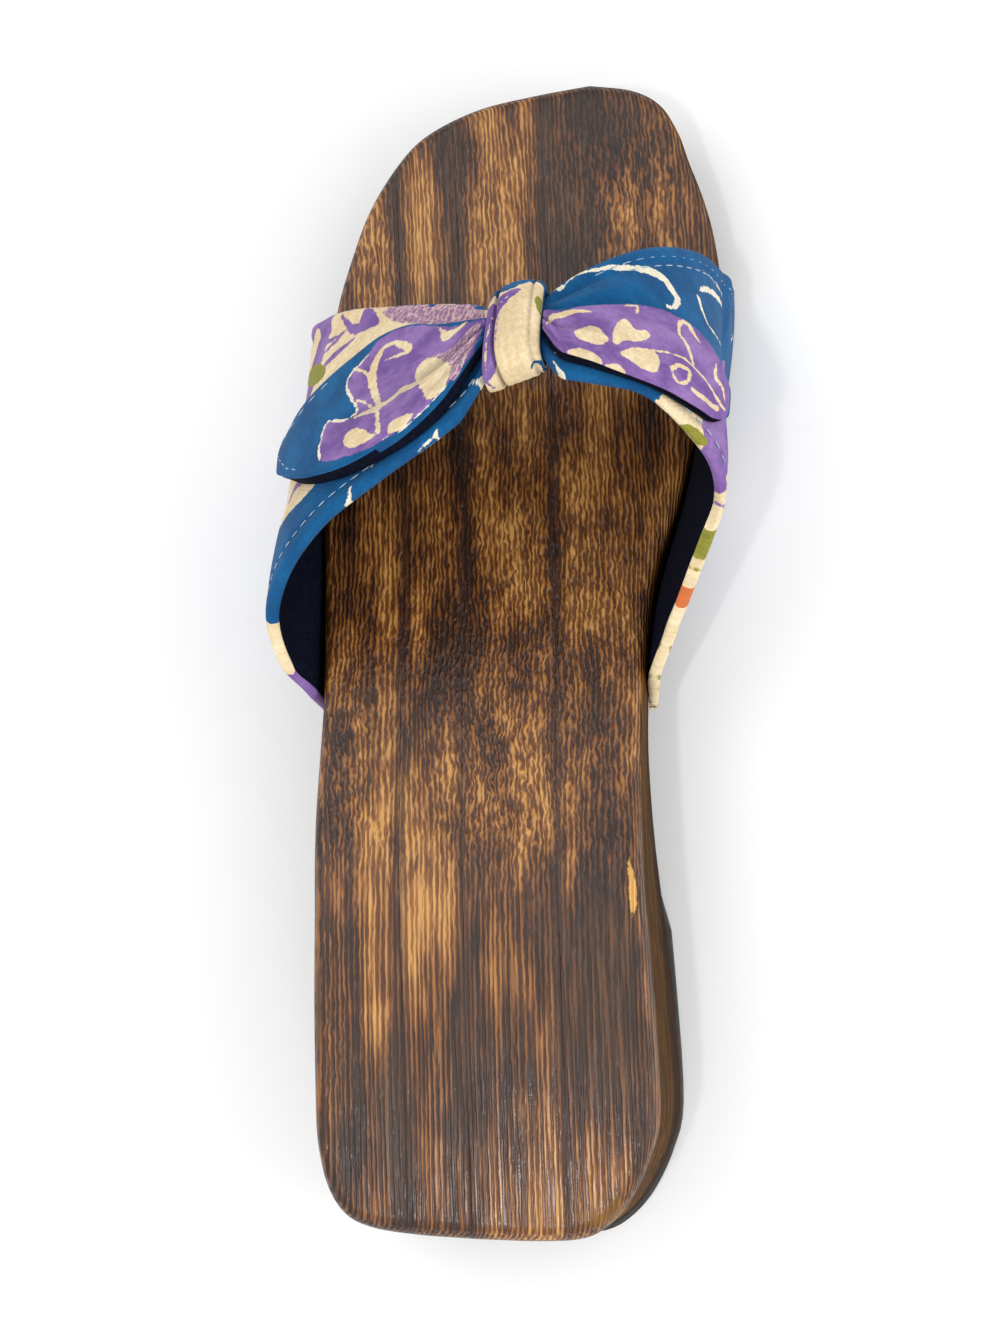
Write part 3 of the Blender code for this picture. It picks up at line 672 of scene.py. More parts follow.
def make_burnt_wood():
    material, nodes, shader = new_material("burnt_wood")
    place = nodes.add("ShaderNodeTexCoord").outputs["Object"]
    line, streak, cloud = wood_grain(
        nodes, place, nodes.attribute("wavy"), nodes.attribute("board"), nodes.attribute("depth"))
    tone = nodes.plus(nodes.times(nodes.minus(streak, 0.5), 0.30),
                      nodes.times(nodes.minus(cloud, 0.5), 0.40))
    tone = nodes.plus(tone, nodes.times(nodes.attribute("gold"), 0.36))
    # Darker where burnt, and in one weak spot by painted shade under the little-toe tail
    burn = nodes.attribute("burn")
    tone = nodes.minus(tone, nodes.times(burn, 0.56))
    value = nodes.plus(nodes.times(line, 0.56), nodes.plus(tone, 0.16))
    ramp = nodes.add("ShaderNodeValToRGB")
    nodes.wire(value, ramp.inputs[0])
    stops = ramp.color_ramp.elements
    stops[0].position, stops[0].color = 0.0, (*linear(38, 19, 8), 1.0)
    stops[1].position, stops[1].color = 1.0, (*linear(202, 148, 80), 1.0)
    for position, colour in ((0.2, (64, 33, 12)), (0.45, (104, 60, 23)), (0.7, (152, 98, 43))):
        stop = stops.new(position)
        stop.color = (*linear(*colour), 1.0)
    scorch = nodes.ramp(nodes.plus(burn, nodes.times(cloud, 0.25)), 0.55, 1.15)
    charred = nodes.blend(line, linear(44, 24, 9), linear(106, 68, 36))
    colour = nodes.blend(nodes.times(scorch, 0.75), ramp.outputs[0], charred)
    wall = nodes.attribute("wall")
    wall_colour = nodes.blend(line, linear(46, 28, 9), linear(98, 66, 22))
    colour = nodes.blend(nodes.times(wall, 0.85), colour, wall_colour)
    foot = nodes.attribute("foot")
    colour = nodes.blend(nodes.times(foot, 0.8), colour, linear(40, 26, 18))
    ochre = nodes.ramp(nodes.plus(nodes.attribute("ochre"), nodes.times(line, 0.25)), 0.35, 0.8)
    colour = nodes.blend(nodes.times(ochre, 0.6), colour, linear(132, 90, 18))
    ragged = nodes.noise(place, 700.0, 3.0, 0.7)
    bare = nodes.plus(nodes.attribute("bare"), nodes.times(nodes.minus(ragged, 0.5), 0.9))
    bare = nodes.ramp(bare, 0.45, 0.6)
    colour = nodes.blend(bare, colour, nodes.blend(line, linear(206, 150, 80), linear(236, 186, 112)))
    seam = nodes.attribute("seam")
    colour = nodes.blend(nodes.times(seam, 0.6), colour, linear(58, 34, 24))
    gloss = nodes.ramp(line, 0.0, 1.0, 0.46, 0.34)
    dull = nodes.plus(nodes.times(bare, 0.4), nodes.times(wall, 0.22))
    varnish = nodes.times(nodes.minus(1.0, bare), nodes.ramp(wall, 0.0, 1.0, 0.45, 0.0))
    fine = nodes.noise(place, 2600.0, 2.0, 0.6)
    relief = nodes.plus(nodes.times(line, nodes.ramp(wall, 0.0, 1.0, 1.0, 0.35)),
                        nodes.times(fine, 0.20))
    relief = nodes.minus(relief, nodes.times(bare, 1.2))
    nodes.put(shader, {
        "Base Color": colour,
        "Roughness": nodes.plus(gloss, dull),
        "Specular IOR Level": nodes.ramp(wall, 0.0, 1.0, 0.32, 0.02),
        "Coat Weight": varnish,
        "Coat Roughness": 0.15,
        "Normal": nodes.bump(relief, 0.00032, 0.9),
        "Coat Normal": nodes.bump(relief, 0.00012, 0.9),
    })
    return material


def make_print_cotton(weave):
    """Printed cotton: the print's colours are laid over a teal ground by signed distances."""
    material, nodes, shader = new_material("print_cotton")
    place = nodes.add("ShaderNodeUVMap", uv_map="cloth").outputs[0]
    cloth = nodes.group(weave, Vector=place)
    ragged = nodes.times(cloth["Ragged"], 0.9)
    cloud = nodes.noise(place, 110.0, 3.0, 0.6, "2D")
    ground = nodes.blend(nodes.ramp(cloud, 0.3, 0.7), linear(2, 76, 127), linear(8, 93, 146))
    pale = nodes.blend(nodes.ramp(cloud, 0.35, 0.65), linear(226, 202, 160), linear(238, 217, 178))
    mauve = nodes.blend(nodes.ramp(cloud, 0.3, 0.7), linear(116, 82, 152), linear(150, 116, 178))
    dusky = nodes.blend(nodes.ramp(cloth["Tint"], 0.3, 0.55), linear(150, 112, 150), linear(214, 180, 178))
    layers = (("sand", pale), ("purple", mauve), ("pinkish", dusky), ("cream", pale),
              ("olive", linear(140, 138, 52)), ("orange", linear(206, 112, 62)),
              ("teal", ground), ("white", linear(236, 228, 206)))
    colour = ground
    for name, ink in layers:
        edge = nodes.plus(nodes.attribute(name), ragged)
        colour = nodes.blend(nodes.ramp(edge, -0.10, 0.10), colour, ink)
    grey = nodes.ramp(cloth["Tint"], 0.25, 0.6, 0.86, 1.07)
    shade = nodes.combine(grey, grey, grey)
    colour = nodes.blend(1.0, colour, shade, "MULTIPLY")
    # Painted shade: the print is darkened towards navy in the bottoms of folds and creases
    fold = nodes.attribute("fold")
    colour = nodes.blend(nodes.times(fold, 0.55), colour, linear(28, 40, 74))
    nodes.put(shader, {
        "Base Color": colour,
        "Roughness": 0.88,
        "Specular IOR Level": 0.25,
        "Sheen Weight": 0.05,
        "Sheen Roughness": 0.5,
        "Normal": nodes.bump(cloth["Height"], WEAVE_RELIEF, 0.8),
    })
    return material


def make_navy_lining(weave):
    material, nodes, shader = new_material("navy_lining")
    place = nodes.add("ShaderNodeUVMap", uv_map="cloth").outputs[0]
    cloth = nodes.group(weave, Vector=place, Threads=1700.0)
    colour = nodes.blend(nodes.ramp(cloth["Tint"], 0.2, 0.65), linear(6, 9, 21), linear(15, 20, 39))
    nodes.put(shader, {
        "Base Color": colour,
        "Roughness": 0.9,
        "Specular IOR Level": 0.08,
        "Normal": nodes.bump(cloth["Height"], WEAVE_RELIEF, 0.8),
    })
    return material


def make_tread_rubber():
    material, nodes, shader = new_material("tread_rubber")
    place = nodes.add("ShaderNodeTexCoord").outputs["Object"]
    grain = nodes.noise(place, 1400.0, 3.0, 0.6)
    dust = nodes.noise(place, 90.0, 3.0, 0.6)
    colour = nodes.blend(nodes.ramp(dust, 0.35, 0.75), linear(38, 35, 33), linear(58, 52, 47))
    ribs = nodes.add("ShaderNodeTexWave", {"Vector": place, "Scale": 110.0},
                     wave_type="BANDS", bands_direction="Y")
    normal = nodes.add("ShaderNodeNewGeometry").outputs["Normal"]
    under = nodes.ramp(nodes.split(normal)[2], -0.6, -0.9)
    ribbed = nodes.times(nodes.ramp(ribs.outputs["Fac"], 0.35, 0.6), under)
    height = nodes.plus(nodes.times(grain, 0.15), ribbed)
    nodes.put(shader, {
        "Base Color": colour,
        "Roughness": nodes.ramp(grain, 0.3, 0.7, 0.62, 0.85),
        "Normal": nodes.bump(height, 0.0006, 0.8),
    })
    return material


def make_thread():
    material, nodes, shader = new_material("white_thread")
    place = nodes.add("ShaderNodeTexCoord").outputs["Object"]
    twist = nodes.noise(place, 3000.0, 2.0)
    colour = nodes.blend(nodes.ramp(twist, 0.3, 0.7), linear(120, 150, 178), linear(190, 204, 214))
    nodes.put(shader, {
        "Base Color": colour,
        "Roughness": 0.7,
        "Normal": nodes.bump(twist, 0.0001, 0.6),
    })
    return material


def crossings(u):
    """Loop positions where a glue line meets the sole's outline, at the heel and at the toe."""
    lean = LOOP[:, 0] - JOINT_LEAN * (LOOP[:, 1] - 0.5 * SOLE_LENGTH) - u
    ahead = np.roll(lean, -1)
    found = []
    for i in np.nonzero(lean * ahead < 0.0)[0]:
        found.append(i + lean[i] / (lean[i] - ahead[i]))
    found.sort(key=lambda position: loop_point(position)[1])
    return found[0], found[-1]


def loop_point(position):
    low = int(math.floor(position)) % len(LOOP)
    share = position - math.floor(position)
    return LOOP[low] * (1.0 - share) + LOOP[(low + 1) % len(LOOP)] * share


def loop_stretch(start, end):
    """Points of the outline's loop from one position forward to another."""
    while end < start:
        end += len(LOOP)
    positions = np.linspace(start, end, 900)
    return np.array([loop_point(position) for position in positions])


def loop_position(point):
    return int(np.argmin(np.hypot(*(LOOP - np.array(point)).T)))


def resample(line, shares):
    steps = np.concatenate([[0.0], np.cumsum(np.hypot(*np.diff(line, axis=0).T))])
    steps /= steps[-1]
    return np.stack([np.interp(shares, steps, line[:, i]) for i in range(2)], axis=1)


def graded(length, count, fine):
    """Shares of a length that lie closer together at both ends."""
    edge = np.array(fine) / length
    middle = np.linspace(edge[-1], 1.0 - edge[-1], count)
    return np.concatenate([edge[:-1], middle, (1.0 - edge[:-1])[::-1]])


def rim_distance(x, y):
    """Distance from points to the sole's outline."""
    ring = LOOP[::5]
    ends = np.roll(ring, -1, axis=0)
    delta = ends - ring
    length = (delta ** 2).sum(1) + 1e-18
    best = np.empty(x.shape)
    flat_x, flat_y = x.ravel(), y.ravel()
    out = best.ravel()
    for start in range(0, len(flat_x), 2000):
        px = flat_x[start:start + 2000, None] - ring[None, :, 0]
        py = flat_y[start:start + 2000, None] - ring[None, :, 1]
        share = np.clip((px * delta[:, 0] + py * delta[:, 1]) / length, 0.0, 1.0)
        gap = np.hypot(px - share * delta[:, 0], py - share * delta[:, 1])
        out[start:start + 2000] = gap.min(1)
    return out.reshape(x.shape)


def board_plan(number):
    """Grid of plan points of one board and the number of its rows and columns."""
    low = GLUE_LINES[number - 1] * BALL_WIDTH + HALF_SEAM if number > 0 else None
    high = GLUE_LINES[number] * BALL_WIDTH - HALF_SEAM if number < len(GLUE_LINES) else None
    if low is not None:
        low_heel, low_toe = crossings(low)
        left = np.stack([loop_point(low_heel), loop_point(low_toe)])
    if high is not None:
        high_heel, high_toe = crossings(high)
        right = np.stack([loop_point(high_heel), loop_point(high_toe)])
    if low is None:
        low_heel = loop_position(LATERAL_HEEL_CORNER)
        low_toe = loop_position(loop_point(high_toe) + np.array(LATERAL_TOE_STEP))
        left = loop_stretch(low_toe, low_heel)[::-1]
    if high is None:
        high_heel = loop_position(MEDIAL_HEEL_CORNER)
        high_toe = loop_position(MEDIAL_TOE_CORNER)
        right = loop_stretch(high_heel, high_toe)
    bottom = loop_stretch(low_heel, high_heel)
    top = loop_stretch(high_toe, low_toe)[::-1]
    width = max(np.hypot(*(left.mean(0) - right.mean(0))), 0.008)
    a = graded(width, max(int(width / COLUMN_WIDTH), 8), BOARD_EDGE)
    b = graded(SOLE_LENGTH, BOARD_ALONG, BOARD_EDGE)
    bottom, top = resample(bottom, a), resample(top, a)
    left, right = resample(left, b), resample(right, b)
    A, B = a[None, :, None], b[:, None, None]
    plan = ((1.0 - B) * bottom[None] + B * top[None] + (1.0 - A) * left[:, None] + A * right[:, None]
            - (1.0 - A) * (1.0 - B) * bottom[0] - A * (1.0 - B) * bottom[-1]
            - (1.0 - A) * B * top[0] - A * B * top[-1])
    return plan, len(b), len(a)


def seam_distance(x, y):
    """Distance from points to the nearest glue line."""
    lean = x - JOINT_LEAN * (y - 0.5 * SOLE_LENGTH)
    return np.abs(lean[..., None] - np.array(GLUE_LINES) * BALL_WIDTH).min(-1)


def build_board(number, material):
    plan, rows, columns = board_plan(number)
    x, y = plan[..., 0], plan[..., 1]
    rim = rim_distance(x, y)
    top, bottom = top_height(y), bottom_height(y)
    round_share = np.clip(1.0 - rim / EDGE_ROUND, 0.0, 1.0)
    drop = EDGE_ROUND * (1.0 - np.sqrt(1.0 - round_share ** 2))
    seam_share = np.clip(1.0 - seam_distance(x, y) / SEAM_HALF_WIDTH, 0.0, 1.0)
    drop = np.maximum(drop, SEAM_DEPTH * seam_share ** 2)
    wave = np.sin(61.0 * x + 23.0 * y + 1.7 * number) * np.sin(47.0 * y - 31.0 * x + number)
    surface = top - drop + PLANING_WAVE * wave * np.clip(rim / 0.006, 0.0, 1.0)
    border = grid_border(rows, columns)
    upper = np.stack([x.ravel(), y.ravel(), surface.ravel()], axis=1)
    chamfer = np.clip(BOTTOM_CHAMFER - rim, 0.0, BOTTOM_CHAMFER)
    lower = np.stack([x.ravel(), y.ravel(), (bottom + chamfer).ravel()], axis=1)
    count = rows * columns
    walls = []
    for level in range(1, WALL_LEVELS):
        share = level / WALL_LEVELS
        walls.append(upper[border] * (1.0 - share) + lower[border] * share)
    verts = np.concatenate([upper, lower, *walls])
    around = len(border)
    faces = grid_faces(rows, columns)
    faces += grid_faces(rows, columns, start=count, flip=True)
    belts = [border]
    for start in range(2 * count, len(verts), around):
        belts.append(list(range(start, start + around)))
    belts.append([count + i for i in border])
    for above, below in zip(belts[:-1], belts[1:]):
        for i in range(around):
            ahead = (i + 1) % around
            faces.append((above[i], below[i], below[ahead], above[ahead]))
    yy = verts[:, 1]
    tops, bottoms = top_height(yy), bottom_height(yy)
    down = np.clip((tops - verts[:, 2]) / (tops - bottoms), 0.0, 1.0)
    flare = HEEL_FLARE * (1.0 - smooth_step(0.20, 0.42, yy / SOLE_LENGTH))
    verts[:, 0] *= 1.0 + 2.0 * flare * down / local_width(yy / SOLE_LENGTH)
    piece = new_mesh_object("sole_board_%d" % (number + 1), verts, faces, [material])
    point_outwards(piece)
    xx = verts[:, 0]
    gap = seam_distance(xx, yy)
    burnt_by_seam = 0.5 * np.exp(-(gap / 0.0019) ** 2)
    edge = np.concatenate([rim.ravel(), rim.ravel(), np.zeros(len(verts) - 2 * count)])
    # Burnt wood, with one weak spot of painted shade under the little-toe tail
    store(piece, "burn", np.clip(soft_spots(BURN_AND_SHADE_SPOTS, xx, yy) + burnt_by_seam, 0.0, 1.0))
    store(piece, "gold", soft_spots(GOLD_SPOTS, xx, yy))
    store(piece, "wavy", soft_spots(WAVY_SPOTS, xx, yy))
    store(piece, "bare", soft_spots(BARE_SPOTS, xx, yy) * (down < 0.2))
    store(piece, "ochre", soft_spots(OCHRE_SPOTS, xx, yy) * (down < 0.3))
    store(piece, "seam", np.exp(-(gap / 0.0010) ** 2))
    store(piece, "wall", smooth_step(0.02, 0.10, down) * (edge < 0.0012))
    store(piece, "foot", smooth_step(0.60, 0.75, down))
    store(piece, "depth", np.clip(tops - verts[:, 2], 0.0, None))
    store(piece, "board", np.full(len(verts), number + 1.0))
    piece.data.set_sharp_from_angle(angle=math.radians(35.0))
    return piece


# The camera that took the photograph, in the shoe's frame: its eye, and the directions of the
# picture's right and of the way back from the shoe to the eye
PHOTO_EYE = (0.07013, 0.02199, 0.5354)
PHOTO_RIGHT = (0.99804, 0.04478, -0.04369)
PHOTO_BACK = (0.04972, -0.14377, 0.98836)

# What the scene's camera looks at from that eye to frame the one shoe, and which way is up
SHOE_MIDDLE = (-0.00185, 0.08422, 0.030)
PICTURE_UP = (-0.0384, 0.9993, 0.0)

# Its focal length and the picture's middle in the photograph's pixels, and what one of those
# pixels spans at the band in millimetres
PHOTO_FOCAL = 2262.0
PHOTO_MIDDLE = (500.0, 666.5)
PIXEL_AT_BAND = 0.222

# The two enlargements that the print was read from: where the left and the top edge of
# each lies in the photograph, and how many of its pixels go to one of the photograph's
VIEWS = {"left": (70.0, 340.0, 6.817), "right": (270.0, 320.0, 6.272)}

# The print. A shape read from an enlargement is in that picture's pixels. Where the photograph
# doesn't show the cloth, a shape is in millimetres of cloth: on the band the first number runs
# from the little-toe hem to the big-toe hem and the second from the heel edge to the toe edge.
BAND_PRINT = {
    "sand": (
        ("blob", "left", (340, 380), (520, 295), (700, 262), (900, 245), (1100, 240), (1300, 240),
         (1510, 258), (1500, 340), (1420, 420), (1200, 440), (1000, 450), (850, 470), (700, 540),
         (560, 650), (450, 750), (330, 850), (330, 600)),
        ("blob", "left", (190, 1250), (300, 1262), (412, 1262), (392, 1340), (322, 1420), (252, 1490),
         (190, 1560), (150, 1600), (150, 1400)),
        ("blob", "cloth", (24, -1), (36, -1), (35, 4), (33, 9), (26, 10), (21, 6)),
        ("stroke", "cloth", (4, -1, 0.5), (12, 5, 0.7), (18, 14, 0.5)),
        ("stroke", "cloth", (13, -1, 0.4), (18, 4, 0.6), (22, 10, 0.4)),
        ("blob", "right", (1040, 965), (1110, 915), (1180, 925), (1270, 960), (1320, 1020), (1345, 1080),
         (1350, 1150), (1410, 1225), (1290, 1245), (1200, 1130), (1110, 1030)),
        ("blob", "cloth", (146, -1), (198, -1), (199, 12), (190, 10), (172, 10), (160, 9), (150, 10),
         (146, 6)),
    ),
    "pinkish": (
        ("blob", "left", (830, 300), (900, 255), (1100, 240), (1400, 250), (1470, 330), (1400, 400),
         (1200, 420), (1050, 380), (900, 355)),
    ),
    "purple": (
        ("blob", "left", (572, 300), (600, 385), (640, 428), (730, 402), (808, 355), (775, 285),
         (735, 268), (700, 310), (680, 360), (640, 362), (605, 330)),
        ("stroke", "left", (455, 615, 44), (540, 540, 50), (640, 462, 24)),
        ("stroke", "left", (440, 560, 20), (520, 480, 30), (560, 450, 16)),
        ("stroke", "left", (372, 600, 20), (392, 520, 34), (405, 440, 40), (440, 380, 30), (520, 320, 14)),
        ("stroke", "left", (470, 480, 30), (560, 430, 24), (600, 400, 14)),
        ("stroke", "left", (225, 1440, 60), (260, 1370, 60), (330, 1310, 50), (385, 1290, 20)),
        ("blob", "cloth", (-2, -1), (25, -1), (22.5, 6), (20, 13), (8, 18), (-2, 18)),
        ("blob", "right", (1345, 1060), (1460, 1060), (1500, 1200), (1490, 1330), (1450, 1440),
         (1370, 1440), (1330, 1330), (1290, 1250), (1410, 1230), (1360, 1150)),
        ("blob", "cloth", (137, 2), (140.5, -1), (146.5, -1), (148, 6), (147, 16), (141, 18), (137, 11)),
        ("stroke", "cloth", (162.4, 0, 0.3), (162.2, 1.8, 0.3)),
        ("stroke", "cloth", (149, 0, 0.3), (151, 3, 0.4), (150, 6, 0.3)),
        ("blob", "cloth", (6, 62), (14, 50), (27, 47), (38, 52), (41, 66), (36, 80), (24, 86), (10, 80)),
        ("blob", "cloth", (168, 44), (177, 34), (188, 37), (194, 48), (190, 62), (177, 67), (168, 58)),
    ),
    "olive": (
        ("blob", "left", (340, 730), (372, 640), (430, 605), (465, 640), (440, 700), (380, 745)),
        ("blob", "right", (1175, 1090), (1240, 1085), (1300, 1130), (1345, 1190), (1290, 1205),
         (1225, 1165)),
        ("blob", "cloth", (154, -1), (158.5, -1), (158, 3), (155, 3.6)),
        ("stroke", "cloth", (160, 0, 0.35), (161, 1.8, 0.35)),
        ("stroke", "cloth", (174, 0.5, 0.5), (178, 2.4, 0.6)),
        ("stroke", "cloth", (180, 0.2, 0.6), (184, 2, 0.7)),
        ("stroke", "cloth", (187, 0.5, 0.5), (192, 3, 0.5)),
        ("blob", "cloth", (40, 88), (44, 82), (52, 81), (48, 87), (43, 92)),
        ("blob", "cloth", (176, 20), (183, 16), (190, 19), (186, 26), (178, 27)),
    ),
    "teal": (
        ("blob", "left", (1115, 250), (1140, 280), (1172, 248)),
        ("blob", "left", (1385, 275), (1450, 258), (1510, 270), (1480, 300), (1430, 300)),
    ),
    "cream": (
        ("stroke", "left", (215, 1500, 8), (280, 1400, 10), (350, 1300, 8)),
        ("flower", (22, 66), 13, 5, 0.3),
        ("flower", (181, 50), 12, 5, 0.9),
    ),
    "white": (
        ("stroke", "left", (782, 1190, 8), (742, 1222, 12), (745, 1258, 16), (762, 1280, 6)),
        ("blob", "left", (1162, 1020), (1170, 1085), (1100, 1112), (1035, 1168), (1052, 1130),
         (1118, 1080), (1140, 1040)),
        ("stroke", "left", (1360, 775, 8), (1400, 745, 16), (1470, 762, 26)),
        ("stroke", "left", (600, 1380, 18), (596, 1450, 28), (585, 1490, 18)),
        ("stroke", "right", (350, 335, 10), (480, 280, 12), (600, 230, 14), (720, 198, 18),
         (850, 186, 28), (950, 197, 44), (1050, 222, 62), (1118, 262, 66), (1152, 320, 62),
         (1190, 372, 46), (1175, 420, 26), (1130, 418, 14)),
        ("stroke", "right", (1310, 335, 10), (1355, 328, 30), (1415, 378, 28), (1442, 425, 12)),
        ("stroke", "right", (1308, 372, 30), (1330, 450, 32), (1372, 545, 14), (1432, 645, 8)),
        ("stroke", "right", (1325, 205, 6), (1395, 285, 12), (1440, 360, 12)),
        ("stroke", "right", (480, 712, 12), (505, 745, 20), (535, 800, 22)),
        ("stroke", "cloth", (5, 61, 0.5), (14, 49, 0.7), (27, 46, 0.5), (39, 51, 0.6)),
        ("stroke", "cloth", (4, 26, 0.4), (12, 33, 0.8), (22, 34, 0.5), (30, 28, 0.3)),
        ("stroke", "cloth", (167, 44, 0.5), (177, 33, 0.7), (189, 36, 0.5), (195, 48, 0.6),
         (191, 63, 0.5)),
        ("stroke", "cloth", (176, 84, 0.4), (184, 80, 0.8), (192, 84, 0.4)),
    ),
    "orange": (
        ("blob", "cloth", (163.4, -1), (166.4, -1), (166.2, 2.6), (163.6, 3)),
        ("flower", (22, 66), 4.5, 5, 1),
        ("flower", (181, 50), 4, 5, 0.2),
    ),
}
LATERAL_PRINT = {
    "purple": (
        ("blob", "left", (800, 470), (900, 410), (1050, 385), (1200, 400), (1400, 370), (1470, 380),
         (1400, 540), (1330, 640), (1200, 800), (1050, 920), (900, 1040), (750, 1130), (600, 1180),
         (420, 1210), (410, 1130), (430, 1080), (440, 1010), (470, 970), (560, 965), (640, 930),
         (655, 880), (610, 800), (600, 740), (620, 700), (650, 640), (720, 570), (770, 500)),
    ),
    "pinkish": (
        ("blob", "left", (1090, 600), (1200, 560), (1300, 490), (1400, 390), (1440, 400), (1400, 510),
         (1340, 620), (1240, 740), (1200, 660)),
    ),
    "white": (
        ("stroke", "left", (415, 1205, 16), (412, 1130, 20), (430, 1060, 14), (450, 1000, 18),
         (480, 962, 16), (570, 962, 18), (648, 918, 20), (652, 870, 18), (603, 792, 22), (596, 740, 18),
         (625, 672, 20), (680, 615, 14), (740, 550, 10)),
        ("stroke", "left", (1390, 480, 8), (1320, 650, 14), (1200, 800, 14), (1080, 910, 14),
         (950, 1010, 12), (820, 1090, 8)),
    ),
    "cream": (
        ("stroke", "left", (795, 895, 24), (772, 800, 42), (752, 700, 62), (780, 600, 62), (832, 520, 46),
         (900, 492, 36), (975, 515, 52), (985, 548, 34), (900, 572, 26), (840, 592, 14)),
        ("stroke", "left", (780, 890, 40), (850, 850, 50), (940, 785, 56), (1030, 745, 60),
         (1100, 700, 60)),
        ("blob", "left", (1040, 650), (1090, 600), (1180, 590), (1240, 640), (1230, 720), (1170, 800),
         (1110, 850), (1060, 780), (1025, 720)),
        ("stroke", "left", (788, 880, 22), (782, 960, 26), (792, 1045, 30)),
        ("stroke", "left", (790, 895, 44), (710, 915, 34), (640, 945, 18)),
        ("stroke", "left", (770, 890, 16), (700, 852, 16), (655, 838, 14)),
        ("stroke", "left", (756, 700, 26), (700, 662, 24), (640, 640, 14)),
        ("blob", "left", (565, 1095), (600, 1030), (660, 1008), (725, 1040), (765, 1065), (700, 1105),
         (610, 1135)),
        ("blob", "left", (840, 1035), (865, 980), (930, 945), (1005, 930), (965, 990), (900, 1040)),
        ("blob", "left", (1175, 398), (1235, 425), (1360, 368), (1285, 440), (1205, 495), (1185, 440)),
    ),
}
MEDIAL_PRINT = {
    "purple": (
        ("blob", "right", (400, 400), (600, 395), (850, 390), (1050, 395), (1200, 440), (1330, 560),
         (1440, 740), (1470, 900), (1440, 1060), (1300, 1000), (1100, 900), (900, 830), (700, 760),
         (500, 710), (380, 690), (380, 500)),
    ),
    "cream": (
        ("blob", "right", (605, 545), (655, 520), (720, 518), (770, 560), (785, 602), (740, 622),
         (680, 605), (630, 585)),
        ("blob", "right", (818, 590), (835, 520), (890, 478), (945, 535), (1010, 550), (1025, 585),
         (960, 612), (890, 602), (835, 622)),
        ("blob", "right", (865, 662), (950, 642), (1040, 662), (1078, 700), (1072, 775), (1000, 775),
         (930, 725), (880, 692)),
        ("blob", "right", (765, 740), (830, 732), (895, 782), (855, 800), (800, 775)),
        ("blob", "right", (555, 655), (620, 638), (700, 660), (755, 712), (742, 755), (680, 735),
         (600, 702)),
        ("stroke", "right", (440, 500, 8), (480, 455, 34), (560, 435, 40), (640, 428, 26), (705, 435, 14)),
        ("stroke", "right", (890, 405, 10), (960, 410, 18), (955, 455, 12)),
        ("stroke", "right", (1270, 740, 18), (1240, 640, 26), (1195, 570, 24), (1200, 515, 26),
         (1245, 512, 34), (1275, 570, 36), (1310, 625, 12)),
        ("stroke", "right", (1040, 665, 16), (1150, 682, 14), (1230, 722, 16), (1300, 790, 20),
         (1360, 870, 20), (1410, 960, 24), (1445, 1010, 14)),
        ("stroke", "right", (1150, 765, 20), (1200, 755, 26), (1250, 785, 24), (1238, 838, 24),
         (1190, 850, 20), (1160, 812, 18), (1150, 772, 14)),
        ("stroke", "right", (1262, 890, 24), (1320, 935, 34), (1400, 1000, 36)),
        ("stroke", "right", (1400, 750, 16), (1395, 820, 30), (1430, 880, 24), (1445, 960, 14)),
    ),
}
KNOT_PRINT = {
    "sand": (
        ("blob", "cloth", (-1, 10.6), (6, 9.6), (13.6, 8), (13.6, 37.5), (-1, 37.5)),
    ),
    "purple": (
        ("blob", "cloth", (-1, 12), (2, 10.8), (6, 10), (8.6, 10.4), (6.4, 12.4), (4.2, 14.8), (3.2, 18),
         (2.9, 23), (2.7, 28), (-1, 28.5)),
        ("stroke", "cloth", (0.6, 30.2, 0.6), (1.4, 31.8, 0.3)),
    ),
    "cream": (
        ("stroke", "cloth", (1, 27.6, 0.34), (1.1, 22, 0.34), (1.6, 17, 0.4), (3.2, 13.4, 0.4),
         (6, 11.5, 0.32)),
    ),
    "pinkish": (
        ("stroke", "cloth", (3.4, 23, 0.3), (3.7, 18, 0.36), (5.2, 14.4, 0.4)),
    ),
    "olive": (
        ("blob", "cloth", (11.4, 12.6), (12.4, 11.4), (13.6, 13), (13.6, 17), (12.4, 16.4)),
    ),
    "teal": (
        ("stroke", "right", (352, 740, 18), (372, 708, 22), (420, 712, 26), (455, 740, 30),
         (450, 785, 20)),
    ),
}

# The print's value away from every shape, and how far it goes round the band's edge
FAR_OUTSIDE = -5.0
PRINTED_HEM = 0.0012
INKS = ("sand", "purple", "pinkish", "cream", "olive", "orange", "teal", "white")


def photo_reader(piece, cloth, lowest):
    """A function that finds the place on the cloth, in millimetres, that a photograph's pixel shows."""
    points, normals = np.empty((2, 3 * len(piece.data.vertices)))
    piece.data.vertices.foreach_get("co", points)
    piece.data.vertices.foreach_get("normal", normals)
    points = points.reshape(-1, 3)[:len(cloth)]
    normals = normals.reshape(-1, 3)[:len(cloth)]
    from_eye = points - np.array(PHOTO_EYE)
    shown = ((from_eye * normals).sum(1) < 0.0) & (points[:, 2] > lowest)
    axes = np.array((PHOTO_RIGHT, np.cross(PHOTO_BACK, PHOTO_RIGHT), PHOTO_BACK))
    right, up, back = axes @ from_eye[shown].T
    x = PHOTO_MIDDLE[0] - PHOTO_FOCAL * right / back
    y = PHOTO_MIDDLE[1] + PHOTO_FOCAL * up / back
    height, cloth = points[shown, 2], cloth[shown]

    def read(pixel_x, pixel_y):
        gap = np.hypot(x - pixel_x, y - pixel_y)
        close = np.nonzero(gap < max(2.2, gap.min() + 1.2))[0]
        close = close[height[close] > height[close].max() - 0.004]
        near = close[np.argsort(gap[close], kind="stable")[:4]]
        weight = 1.0 / (gap[near] + 0.05)
        place = (cloth[near] * weight[:, None]).sum(0) / weight.sum()
        return round(float(place[0]), 1), round(float(place[1]), 1)

    return read


